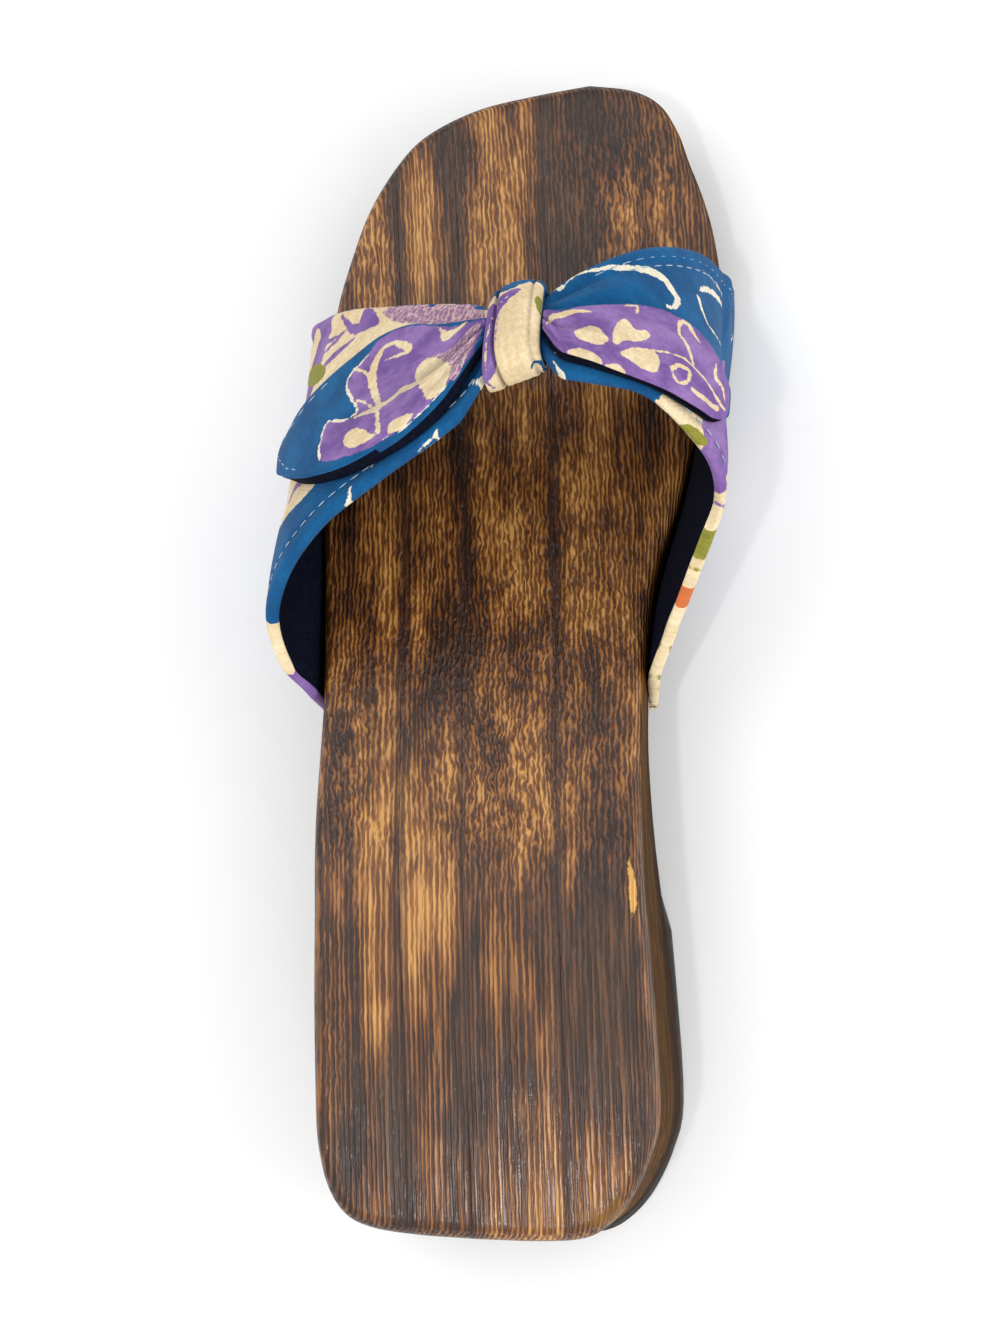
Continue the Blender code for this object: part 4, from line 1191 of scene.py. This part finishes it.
def on_cloth(read, view, points):
    """A shape's points in millimetres of cloth, without points that fall together."""
    if view == "cloth":
        return points
    left, top, scale = VIEWS[view]
    placed = []
    for x, y, *width in points:
        place = read(left + x / scale, top + y / scale)
        if not placed or abs(place[0] - placed[-1][0]) + abs(place[1] - placed[-1][1]) > 0.15:
            placed.append((*place, *(w / scale * PIXEL_AT_BAND for w in width)))
    return placed


def store_print(piece, design, cloth, shown, lowest):
    """Signed distance to each ink of a design, in millimetres, kept for the shader."""
    read = photo_reader(piece, cloth[:len(cloth) // 2] * 1000.0, lowest)
    u, v = cloth[:, 0] * 1000.0, cloth[:, 1] * 1000.0
    for ink in INKS:
        best = np.full(u.shape, FAR_OUTSIDE)
        for kind, *shape in design.get(ink, ()):
            if kind == "flower":
                best = np.maximum(best, petals_distance(*shape, u, v))
                continue
            points = on_cloth(read, shape[0], shape[1:])
            if kind == "blob":
                best = np.maximum(best, inside_distance(points, u, v))
            else:
                best = np.maximum(best, stroke_distance(points, u, v))
        store(piece, ink, np.where(shown, best, FAR_OUTSIDE))


def dress_cloth(piece, u, v, design, shown, fold, lowest=0.0):
    """Map, print and painted shade in the folds of a doubled cloth piece; only its first half is printed, or
    what shows.
    """
    point_outwards(piece)
    cloth = np.concatenate([np.stack([u, v], -1).reshape(-1, 2)] * 2)
    if shown is None:
        shown = np.arange(len(cloth)) < u.size
    store_cloth_map(piece, cloth)
    store_print(piece, design, cloth, shown, lowest)
    store(piece, "fold", np.concatenate([fold.ravel(), np.zeros(u.size)]))


def edge_dip(distance, radius):
    share = np.clip(1.0 - distance / radius, 0.0, 1.0)
    return radius * (1.0 - np.sqrt(np.clip(1.0 - share ** 2, 0.0, 1.0)))


def cloth_lengths(points):
    """Lengths of cloth along the rows and the columns of a grid of points, in metres."""
    middle = points.shape[1] // 2
    u = np.concatenate([[0.0], np.cumsum(np.linalg.norm(np.diff(points[:, middle], axis=0), axis=1))])
    steps = np.linalg.norm(np.diff(points, axis=1), axis=2)
    v = np.concatenate([np.zeros((len(points), 1)), np.cumsum(steps, axis=1)], axis=1)
    return np.broadcast_to(u[:, None], v.shape).copy(), v


# Seams of the band: first and last row, whether from the heel edge, and how far in
BAND_SEAMS = (
    (0.6, 8.6, True, 0.0045),
    (11.2, 15.3, True, 0.0045),
    (12.2, 20.4, False, 0.0032),
    (13.0, 16.6, False, 0.0056),
)

# Creases in the band beside the knot: from row and share across to row and share across, then
# half width and depth in millimetres. A negative depth is a ridge.
BAND_CREASES = (
    (9.0, 0.30, 6.2, 0.12, 2.6, 0.9),
    (9.0, 0.62, 6.6, 0.66, 2.4, 0.7),
    (9.0, 0.86, 7.4, 0.93, 1.8, 0.5),
    (10.7, 0.28, 13.6, 0.06, 2.4, 0.8),
    (10.7, 0.55, 13.8, 0.60, 2.6, 0.8),
    (10.7, 0.82, 13.0, 0.90, 1.8, 0.5),
    (9.0, 0.46, 5.8, 0.36, 2.4, -0.6),
    (10.7, 0.68, 13.4, 0.76, 2.4, -0.6),
    (3.4, 0.35, 1.8, 0.50, 3.0, 0.5),
    (17.5, 0.40, 19.0, 0.60, 3.0, 0.5),
)

# Creases of the tails, by the share of the way to the tip and across, and how far the lining
# flange reaches past the heel edge from the knot to the tip
LATERAL_CREASES = ((0.0, 0.62, 0.52, 0.30, 1.3, 1.3), (0.0, 0.25, 0.30, 0.12, 1.0, 0.6))
MEDIAL_CREASES = ((0.0, 0.55, 0.28, 0.60, 1.1, 0.8), (0.0, 0.20, 0.22, 0.14, 0.9, 0.5))
LATERAL_FLANGE = (0.06, 0.05, 0.02, -0.005, -0.02, -0.02, -0.02, -0.02)
MEDIAL_FLANGE = (0.0, -0.006, -0.010, -0.010, -0.010, -0.010, -0.008, -0.008)


# The knot: its width of cloth, what one row of the band spans there, and its folds as a share of
# its width, half width and depth
KNOT_CLOTH = 0.0125
ROW_AT_KNOT = 0.0065
KNOT_FOLDS = ((0.23, 0.028, 0.0011), (0.87, 0.030, 0.0005))

# How far the first columns of the band and of a tail lie from the edge, a tail's usual width,
# and how many columns of the band's inner face belong to the printed hem
BAND_EDGE = (0.0, 0.00008, 0.0003, 0.0006, 0.0010, 0.0016)
TAIL_EDGE = (0.0, 0.0002, 0.0006, 0.0011)
TAIL_WIDTH = 0.016
HEM_COLUMNS = 3

# Stitches of the little-toe tail: the first row, how many rows the tip is left without, and for
# each side the column and how far inwards it turns
TAIL_STITCH_ROW = 104
TAIL_TIP_ROWS = 6
TAIL_STITCHES = ((15, 20.0), (TAIL_ACROSS + 12, -20.0))


def crease_moves(creases, first, second, spans, left_at_end):
    """How far creases move a surface, by two shares that span lengths in millimetres. The depth
    fades from the first to the last end of each, as a start value less a share of the way."""
    moved = np.zeros(first.shape)
    for first_a, second_a, first_b, second_b, width, depth in creases:
        start = (first_a * spans[0], second_a * spans[1])
        end = (first_b * spans[0], second_b * spans[1])
        held, gap = from_stretch(first * spans[0], second * spans[1], start, end)
        fade = np.clip(left_at_end[0] - left_at_end[1] * held, 0.0, 1.0)
        moved -= depth / 1000.0 * np.exp(-(gap / width) ** 2) * fade
    return moved


def cut_of(points):
    """Width, length and area of the cloth in a grid of points, in metres."""
    u, v = cloth_lengths(points)
    along, over = np.diff(points, axis=0)[:, :-1], np.diff(points, axis=1)[:-1]
    area = np.linalg.norm(np.cross(along, over), axis=2).sum()
    return float(u.max()), float(v.max() - v.min()), float(area)


def build_band(cotton, lining):
    row = np.linspace(0.0, BAND_LAST, BAND_ROWS)[:, None]
    plain = band_outer(row, np.linspace(0.0, 1.0, 41)[None, :])
    lengths = np.linalg.norm(np.diff(plain, axis=1), axis=2).sum(1)
    across = graded(float(lengths.mean()), BAND_ACROSS, BAND_EDGE)[None, :]
    row, across = np.broadcast_arrays(row, across)
    normal = band_normal(row, across)
    point = band_outer(row, across)
    u, v = cloth_lengths(point)
    length = v[:, -1:]
    edge = np.minimum(v, length - v)
    pleat = pleat_depth(row) * np.sin(np.pi * across) * np.sin(6.0 * np.pi * across)
    hem_seam = 0.00030 * np.exp(-((edge - 0.0045) / 0.0007) ** 2)
    puff = 0.00025 * np.exp(-((edge - 0.0022) / 0.0014) ** 2)
    free = smooth_step(0.8, 1.3, np.abs(row - KNOT_MIDDLE))
    held = smooth_step(0.2, 1.6, np.minimum(row, BAND_LAST - row))
    creases = crease_moves(BAND_CREASES, row, across, (5.0, 55.0), (1.15, 1.0))
    move = pleat + (puff - hem_seam + creases * smooth_step(0.0, 0.004, edge)) * free * held
    dip = edge_dip(edge, BAND_WALL * 0.47)
    outer = point + normal * (move - dip)[..., None]
    inner = point + normal * (move - BAND_WALL + dip)[..., None]
    drawn_in = 0.0010 * smooth_step(15.5, 17.5, row) * (1.0 - smooth_step(0.012, 0.040, v))
    outer[..., 0] -= drawn_in
    wall = wall_x(np.ones(row.shape), inner[..., 1], 0.0002)
    beside = (drawn_in > 0.0) & (inner[..., 2] < top_height(inner[..., 1]) + 0.001)
    inner[..., 0] = np.where(beside, np.maximum(inner[..., 0] - drawn_in, wall), inner[..., 0] - drawn_in)
    rows, columns = row.shape
    count = rows * columns
    verts = np.concatenate([outer.reshape(-1, 3), inner.reshape(-1, 3)])
    outer_faces, inner_faces, rim = doubled_faces(rows, columns)
    kinds = [0] * len(outer_faces)
    last = columns - 2 - HEM_COLUMNS
    kinds += [int(HEM_COLUMNS <= i % (columns - 1) <= last) for i in range(len(inner_faces))]
    kinds += [0] * len(rim)
    piece = new_mesh_object("band_cloth", verts, outer_faces + inner_faces + rim, [cotton, lining], kinds)
    shown = np.concatenate([np.ones(count, bool), edge.ravel() < PRINTED_HEM])
    dress_cloth(piece, u, v, BAND_PRINT, shown, np.zeros(count))
    return piece, cut_of(point)


def build_knot(cotton, lining):
    share = np.linspace(0.0, 1.0, KNOT_ROWS)
    row = KNOT_MIDDLE + 1.10 * KNOT_REACH * (2.0 * share - 1.0)
    rear, front = band_outer(row, np.zeros_like(row)), band_outer(row, np.ones_like(row))
    normal = band_normal(row, np.full_like(row, 0.5))
    middle = (rear + front) / 2.0 - normal * (BAND_WALL / 2.0)
    span = np.linalg.norm(front - rear, axis=1)
    lengthwise = (front - rear) / span[:, None]
    angle = 2.0 * math.pi * np.arange(KNOT_TURN) / KNOT_TURN
    reach = np.sign(np.cos(angle)) * np.abs(np.cos(angle)) ** 0.5
    rise = np.sign(np.sin(angle)) * np.abs(np.sin(angle)) ** 0.5
    in_reach = reach[None, :] * (span[:, None] / 2.0 + 3.0 * FIT_GAP)
    in_rise = np.broadcast_to(rise[None, :] * (BAND_WALL / 2.0 + 4.5 * FIT_GAP), in_reach.shape)
    swell = KNOT_CROWN * np.sin(np.pi * share)[:, None] * (0.5 + 0.5 * np.sin(angle))[None, :]
    width = 2.0 * KNOT_REACH * ROW_AT_KNOT
    end = np.minimum(share, 1.0 - share) * width
    rolled = 0.45 + 0.55 * np.sqrt(np.clip(1.0 - (1.0 - np.clip(end / 0.0016, 0.0, 1.0)) ** 2, 0.0, 1.0))
    drift = 0.03 * np.sin(angle + 0.6)[None, :]
    place = share[:, None] + drift
    folds = np.zeros(in_reach.shape)
    for centre, half, depth in KNOT_FOLDS:
        folds -= depth * np.exp(-((place - centre) / half) ** 2)
    folds += 0.00005 * np.sin(place * 40.0 + 1.5 * np.sin(angle * 2.0)[None, :])
    wall = (KNOT_WALL + swell + folds) * rolled[:, None]
    out_reach = in_reach + wall * np.cos(angle)[None, :]
    out_rise = in_rise + wall * np.sin(angle)[None, :]
    inside, outside = (
        middle[:, None] + lengthwise[:, None] * reach[..., None] + normal[:, None] * rise[..., None]
        for reach, rise in ((in_reach, in_rise), (out_reach, out_rise)))
    rows, columns = in_reach.shape
    count = rows * columns
    verts = np.concatenate([outside.reshape(-1, 3), inside.reshape(-1, 3)])
    faces = grid_faces(rows, columns, wrap=True)
    faces += grid_faces(rows, columns, start=count, wrap=True, flip=True)
    for base in (0, (rows - 1) * columns):
        for j in range(columns):
            ahead = (j + 1) % columns
            faces.append((base + j, base + ahead, count + base + ahead, count + base + j))
    piece = new_mesh_object("knot_cloth", verts, faces, [cotton, lining])
    _, v = cloth_lengths(outside)
    v = np.broadcast_to(v.mean(0)[None, :], v.shape)
    u = np.broadcast_to((share * KNOT_CLOTH)[:, None], v.shape)
    # Painted shade in the bottoms of the knot's folds
    fold = np.clip(-folds / 0.0009, 0.0, 1.0)
    dress_cloth(piece, u, v, KNOT_PRINT, None, fold, lowest=float(np.median(outside[..., 2])))
    return piece, cut_of(outside)


def build_tail(name, table, tip_lift, flange, turned_under, cotton, lining, design, creases):
    """A leaf of doubled cloth: print above, and a lining flange that shows below its heel edge."""
    share = np.linspace(0.0, 1.0, TAIL_ROWS)
    sizes = table_at(table, share * (len(table) - 1.0))
    row, heel_edge, toe_edge, curl = (sizes[:, i:i + 1] for i in range(4))
    flange_part = -np.linspace(1.0, 0.0, FLANGE_COLUMNS + 1)[:-1]
    edge = np.concatenate([flange_part, graded(TAIL_WIDTH, TAIL_ACROSS, TAIL_EDGE)])
    out = np.where(edge < 0.0, 0.0, edge)[None, :]
    beyond = np.clip(-edge, 0.0, 1.0)[None, :]
    reach_below = table_at(np.array(flange)[:, None], share * (len(flange) - 1.0))
    across = heel_edge + (toe_edge - heel_edge) * out - reach_below * beyond
    row = np.broadcast_to(row, across.shape)
    normal = band_normal(row, np.clip(across, 0.0, 1.0))
    base = band_outer(row, across)
    crown = np.sin(math.pi * out)
    stand = tip_lift * smooth_step(0.30, 0.85, share)[:, None]
    settled = 0.85 - 0.40 * smooth_step(0.2, 0.8, share)[:, None]
    crest = TAIL_LIFT + pleat_depth(row) + stand + TAIL_CURL * settled * curl * (1.0 - out) ** 1.5
    thickness = TAIL_THICKNESS * (0.7 + 0.3 * crown)
    low = TAIL_LIFT + pleat_depth(row) + 0.0006
    sink = smooth_step(0.0, 0.22, beyond)
    lift = (crest + thickness) * (1.0 - sink) + (low + 0.0007 * (1.0 - beyond)) * sink
    under = np.minimum(crest * (1.0 - sink) + (low - 0.0008) * sink, lift - 0.0004)
    along, over = np.broadcast_arrays(share[:, None], out)
    moved = crease_moves(creases, along, over, (42.0, 17.0), (1.0, 0.75)) * (1.0 - sink)
    top = base + normal * (lift + moved)[..., None]
    bottom = base + normal * under[..., None]
    u, v = cloth_lengths(top)
    v = v - v[:, FLANGE_COLUMNS:FLANGE_COLUMNS + 1]
    rows, columns = across.shape
    verts = np.concatenate([top.reshape(-1, 3), bottom.reshape(-1, 3)])
    upper_faces, lower_faces, rim = doubled_faces(rows, columns)
    kinds = [int(i % (columns - 1) < turned_under) for i in range(len(upper_faces))]
    kinds += [1] * len(lower_faces)
    kinds += [int(face[0] % columns <= FLANGE_COLUMNS) for face in rim]
    piece = new_mesh_object(name, verts, upper_faces + lower_faces + rim, [cotton, lining], kinds)
    # The creases' depth also sets the painted shade in their bottoms
    dress_cloth(piece, u, v, design, None, np.clip(-moved / 0.0012, 0.0, 1.0))
    return piece, top, normal, cut_of(top)


def stitch_tree(material):
    """Geometry nodes that lay one row of stitches along a path."""
    tree = bpy.data.node_groups.new("stitch_row", "GeometryNodeTree")
    tree.interface.new_socket("Geometry", in_out="INPUT", socket_type="NodeSocketGeometry")
    sockets = {}
    for label, default in (("Pitch", 0.0030), ("Stitch", 0.0021), ("Thread", 0.0004)):
        socket = tree.interface.new_socket(label, in_out="INPUT", socket_type="NodeSocketFloat")
        socket.default_value = default
        sockets[label] = socket.identifier
    tree.interface.new_socket("Geometry", in_out="OUTPUT", socket_type="NodeSocketGeometry")
    nodes = Nodes(tree)
    given = nodes.add("NodeGroupInput").outputs
    curve = nodes.add("GeometryNodeMeshToCurve", {0: given["Geometry"]}).outputs[0]
    spaced = nodes.add("GeometryNodeResampleCurve", {"Curve": curve, "Length": given["Pitch"]}, mode="LENGTH")
    bead = nodes.add("GeometryNodeMeshUVSphere", {"Segments": 6, "Rings": 5, "Radius": 0.5})
    thread = nodes.combine(given["Thread"], given["Thread"], given["Stitch"])
    sized = nodes.add("GeometryNodeTransform", {"Geometry": bead.outputs["Mesh"], "Scale": thread})
    tangent = nodes.add("GeometryNodeInputTangent").outputs[0]
    turn = nodes.add("FunctionNodeAlignRotationToVector", {"Vector": tangent}, axis="Z")
    laid = nodes.add("GeometryNodeInstanceOnPoints", {
        "Points": spaced.outputs["Curve"],
        "Instance": sized.outputs["Geometry"],
        "Rotation": turn.outputs[0],
    })
    real = nodes.add("GeometryNodeRealizeInstances", {0: laid.outputs[0]}).outputs[0]
    finish = nodes.add("GeometryNodeSetMaterial", {"Geometry": real, "Material": material})
    nodes.add("NodeGroupOutput", {"Geometry": finish.outputs[0]})
    return tree, sockets


def build_stitches(name, paths, made, sizes):
    """Rows of stitches along paths of points, as one plain mesh."""
    verts, edges = [], []
    for path in paths:
        start = len(verts)
        verts += [(float(x), float(y) - HEEL_REST, float(z)) for x, y, z in path]
        edges += [(start + i, start + i + 1) for i in range(len(path) - 1)]
    mesh = bpy.data.meshes.new(name + "_path")
    mesh.from_pydata(verts, edges, [])
    guide = place_object(name + "_path", mesh)
    modifier = guide.modifiers.new("stitches", "NODES")
    modifier.node_group, sockets = made["stitches"]
    modifier[sockets["Pitch"]] = sizes.stitch_pitch
    modifier[sockets["Stitch"]] = sizes.stitch_length
    modifier[sockets["Thread"]] = sizes.thread_width
    bpy.context.view_layer.update()
    evaluated = guide.evaluated_get(bpy.context.evaluated_depsgraph_get())
    plain = bpy.data.meshes.new_from_object(evaluated)
    plain.name = name
    plain.materials.clear()
    plain.materials.append(made["thread"])
    plain.shade_smooth()
    piece = place_object(name, plain)
    bpy.data.objects.remove(guide)
    return piece


def band_path(first, last, from_heel_edge, inset, count=160):
    """Points on the band's outer face at a distance of cloth from one edge."""
    row = np.linspace(first, last, count)[:, None]
    across = np.linspace(0.0, 1.0, 201)[None, :]
    _, v = cloth_lengths(band_outer(row, across))
    goals = np.where(from_heel_edge, inset, v[:, -1] - inset)
    shares = np.array([np.interp(goal, lengths, across[0]) for goal, lengths in zip(goals, v)])
    row = row[:, 0]
    normal = band_normal(row, shares)
    pleat = pleat_depth(row) * np.sin(np.pi * shares) * np.sin(6.0 * np.pi * shares)
    return band_outer(row, shares) + normal * (pleat + 0.00002)[:, None]


MADE = {}


def materials():
    if not MADE:
        weave = make_weave_group()
        MADE["wood"] = make_burnt_wood()
        MADE["cotton"] = make_print_cotton(weave)
        MADE["lining"] = make_navy_lining(weave)
        MADE["rubber"] = make_tread_rubber()
        MADE["thread"] = make_thread()
        MADE["stitches"] = stitch_tree(MADE["thread"])
    return MADE


class GetaSizes(bpy.types.PropertyGroup):
    floor_size: bpy.props.FloatProperty(
        name="Floor size", description="Side of the studio floor", default=6.0, unit="LENGTH")
    floor_colour: bpy.props.FloatVectorProperty(
        name="Floor colour", description="Colour of the studio floor", default=(0.95, 0.95, 0.95),
        subtype="COLOR", size=3)
    stitch_pitch: bpy.props.FloatProperty(
        name="Stitch pitch", description="Distance from one stitch to the next", default=0.0030,
        unit="LENGTH")
    stitch_length: bpy.props.FloatProperty(
        name="Stitch length", description="Length of one stitch", default=0.0021, unit="LENGTH")
    thread_width: bpy.props.FloatProperty(
        name="Thread width", description="Width of the sewing thread", default=0.0003,
        unit="LENGTH")


class GETA_OT_sole(bpy.types.Operator):
    """Builds the four boards of the sole and finishes the treads"""
    bl_idname = "geta.sole"
    bl_label = "Sole"

    def execute(self, context):
        made = materials()
        for number in range(len(GLUE_LINES) + 1):
            board = build_board(number, made["wood"])
            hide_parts("board_%d" % (number + 1))
            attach(board, "root")
        for name in ("heel_tread", "forefoot_tread"):
            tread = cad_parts[name]
            for slot in tread.material_slots:
                slot.material = made["rubber"]
        return {"FINISHED"}


class GETA_OT_band(bpy.types.Operator):
    """Builds the band of printed cotton and its stitches"""
    bl_idname = "geta.band"
    bl_label = "Band"

    def execute(self, context):
        made = materials()
        band, cut = build_band(made["cotton"], made["lining"])
        paths = [band_path(*row) for row in BAND_SEAMS]
        stitches = build_stitches("band_stitches", paths, made, context.scene.geta_sizes)
        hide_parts("band")
        for piece in (band, stitches):
            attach(piece, "root")
        return {"FINISHED"}


class GETA_OT_tie(bpy.types.Operator):
    """Builds the knot and the two tails of the tie"""
    bl_idname = "geta.tie"
    bl_label = "Tie"

    def execute(self, context):
        made = materials()
        knot, knot_cut = build_knot(made["cotton"], made["lining"])
        lateral, top_l, normal_l, lateral_cut = build_tail(
            "tail_lateral_cloth", TAIL_LATERAL, LATERAL_TIP_LIFT, LATERAL_FLANGE, 10,
            made["cotton"], made["lining"], LATERAL_PRINT, LATERAL_CREASES)
        medial, _, _, medial_cut = build_tail(
            "tail_medial_cloth", TAIL_MEDIAL, MEDIAL_TIP_LIFT, MEDIAL_FLANGE, 11,
            made["cotton"], made["lining"], MEDIAL_PRINT, MEDIAL_CREASES)
        paths = []
        rows = np.arange(TAIL_STITCH_ROW, TAIL_ROWS - TAIL_TIP_ROWS)
        turn = smooth_step(TAIL_STITCH_ROW, TAIL_ROWS - TAIL_TIP_ROWS, rows)
        for column, inward in TAIL_STITCHES:
            turned = column + np.round(inward * turn).astype(int)
            paths.append(top_l[rows, turned] + normal_l[rows, turned] * 0.00002)
        stitches = build_stitches("tail_stitches", paths, made, context.scene.geta_sizes)
        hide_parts("tie_knot")
        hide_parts("tie_tail_lateral")
        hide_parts("tie_tail_medial")
        for piece in (knot, lateral, medial, stitches):
            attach(piece, "root")
        return {"FINISHED"}


# The lights: where each is, what it looks at, its width and height, and its power in watts
LIGHTS = {
    "key": ((-0.55, 0.35, 1.0), (0.0, 0.085, 0.03), (0.7, 0.7), 2.4),
    "fill": ((0.8, 0.2, 0.7), (0.0, 0.085, 0.03), (0.9, 0.9), 1.4),
    "heel_rim": ((0.12, -0.75, 0.42), (0.0, -0.03, 0.04), (0.5, 0.20), 1.8),
    "glint": ((-0.09, -0.13, 0.95), (0.0, 0.0, 0.04), (0.03, 0.05), 1.1),
    "side_rim": ((0.75, -0.02, 0.45), (0.03, 0.02, 0.04), (0.5, 0.03), 1.4),
}


def area_light(name, place, target, size, power):
    light = bpy.data.lights.new(name, "AREA")
    light.shape = "RECTANGLE"
    light.size, light.size_y = size
    light.energy = power
    lamp = place_object(name, light)
    lamp.location = place
    aim = Vector(target) - Vector(place)
    lamp.rotation_euler = aim.to_track_quat("-Z", "Y").to_euler()


class GETA_OT_stage(bpy.types.Operator):
    """Builds the floor, the lights and the camera"""
    bl_idname = "geta.stage"
    bl_label = "Stage"

    def execute(self, context):
        sizes = context.scene.geta_sizes
        half = sizes.floor_size / 2.0
        mesh = bpy.data.meshes.new("studio_floor")
        mesh.from_pydata([(-half, -half, 0.0), (half, -half, 0.0), (half, half, 0.0), (-half, half, 0.0)],
                         [], [(0, 1, 2, 3)])
        material, nodes, shader = new_material("studio_floor")
        nodes.put(shader, {"Base Color": (*sizes.floor_colour, 1.0), "Roughness": 0.9})
        mesh.materials.append(material)
        floor = place_object("studio_floor", mesh)
        world = bpy.data.worlds.new("studio")
        world.use_nodes = True
        background = world.node_tree.nodes["Background"]
        background.inputs["Color"].default_value = (1.0, 1.0, 1.0, 1.0)
        background.inputs["Strength"].default_value = 0.80
        context.scene.world = world
        for name, values in LIGHTS.items():
            area_light(name, *values)
        eye = Vector(PHOTO_EYE)
        back = (eye - Vector(SHOE_MIDDLE)).normalized()
        right = Vector(PICTURE_UP).cross(back).normalized()
        upward = back.cross(right)
        camera_data = bpy.data.cameras.new("photo_camera")
        camera_data.sensor_fit = "HORIZONTAL"
        camera_data.sensor_width = 36.0
        camera_data.lens = 90.0
        camera = place_object("photo_camera", camera_data)
        turn = Matrix((right, upward, back)).transposed()
        camera.matrix_world = Matrix.Translation(eye) @ turn.to_4x4()
        context.scene.camera = camera
        context.scene.view_settings.view_transform = "Standard"
        return {"FINISHED"}


class GETA_PT_panel(bpy.types.Panel):
    bl_idname = "GETA_PT_panel"
    bl_label = "Geta mule"
    bl_space_type = "VIEW_3D"
    bl_region_type = "UI"
    bl_category = "Geta"

    def draw(self, context):
        for name in ("geta.sole", "geta.band", "geta.tie", "geta.stage"):
            self.layout.operator(name)
        sizes = context.scene.geta_sizes
        for name in ("floor_size", "floor_colour", "stitch_pitch", "stitch_length", "thread_width"):
            self.layout.prop(sizes, name)


CLASSES = (GetaSizes, GETA_OT_sole, GETA_OT_band, GETA_OT_tie, GETA_OT_stage, GETA_PT_panel)


def register():
    for kind in CLASSES:
        bpy.utils.register_class(kind)
    bpy.types.Scene.geta_sizes = bpy.props.PointerProperty(type=GetaSizes)


def unregister():
    del bpy.types.Scene.geta_sizes
    for kind in reversed(CLASSES):
        bpy.utils.unregister_class(kind)


def main():
    register()
    bpy.ops.geta.sole()
    bpy.ops.geta.band()
    bpy.ops.geta.tie()
    bpy.ops.geta.stage()


if __name__ == "__main__":
    main()
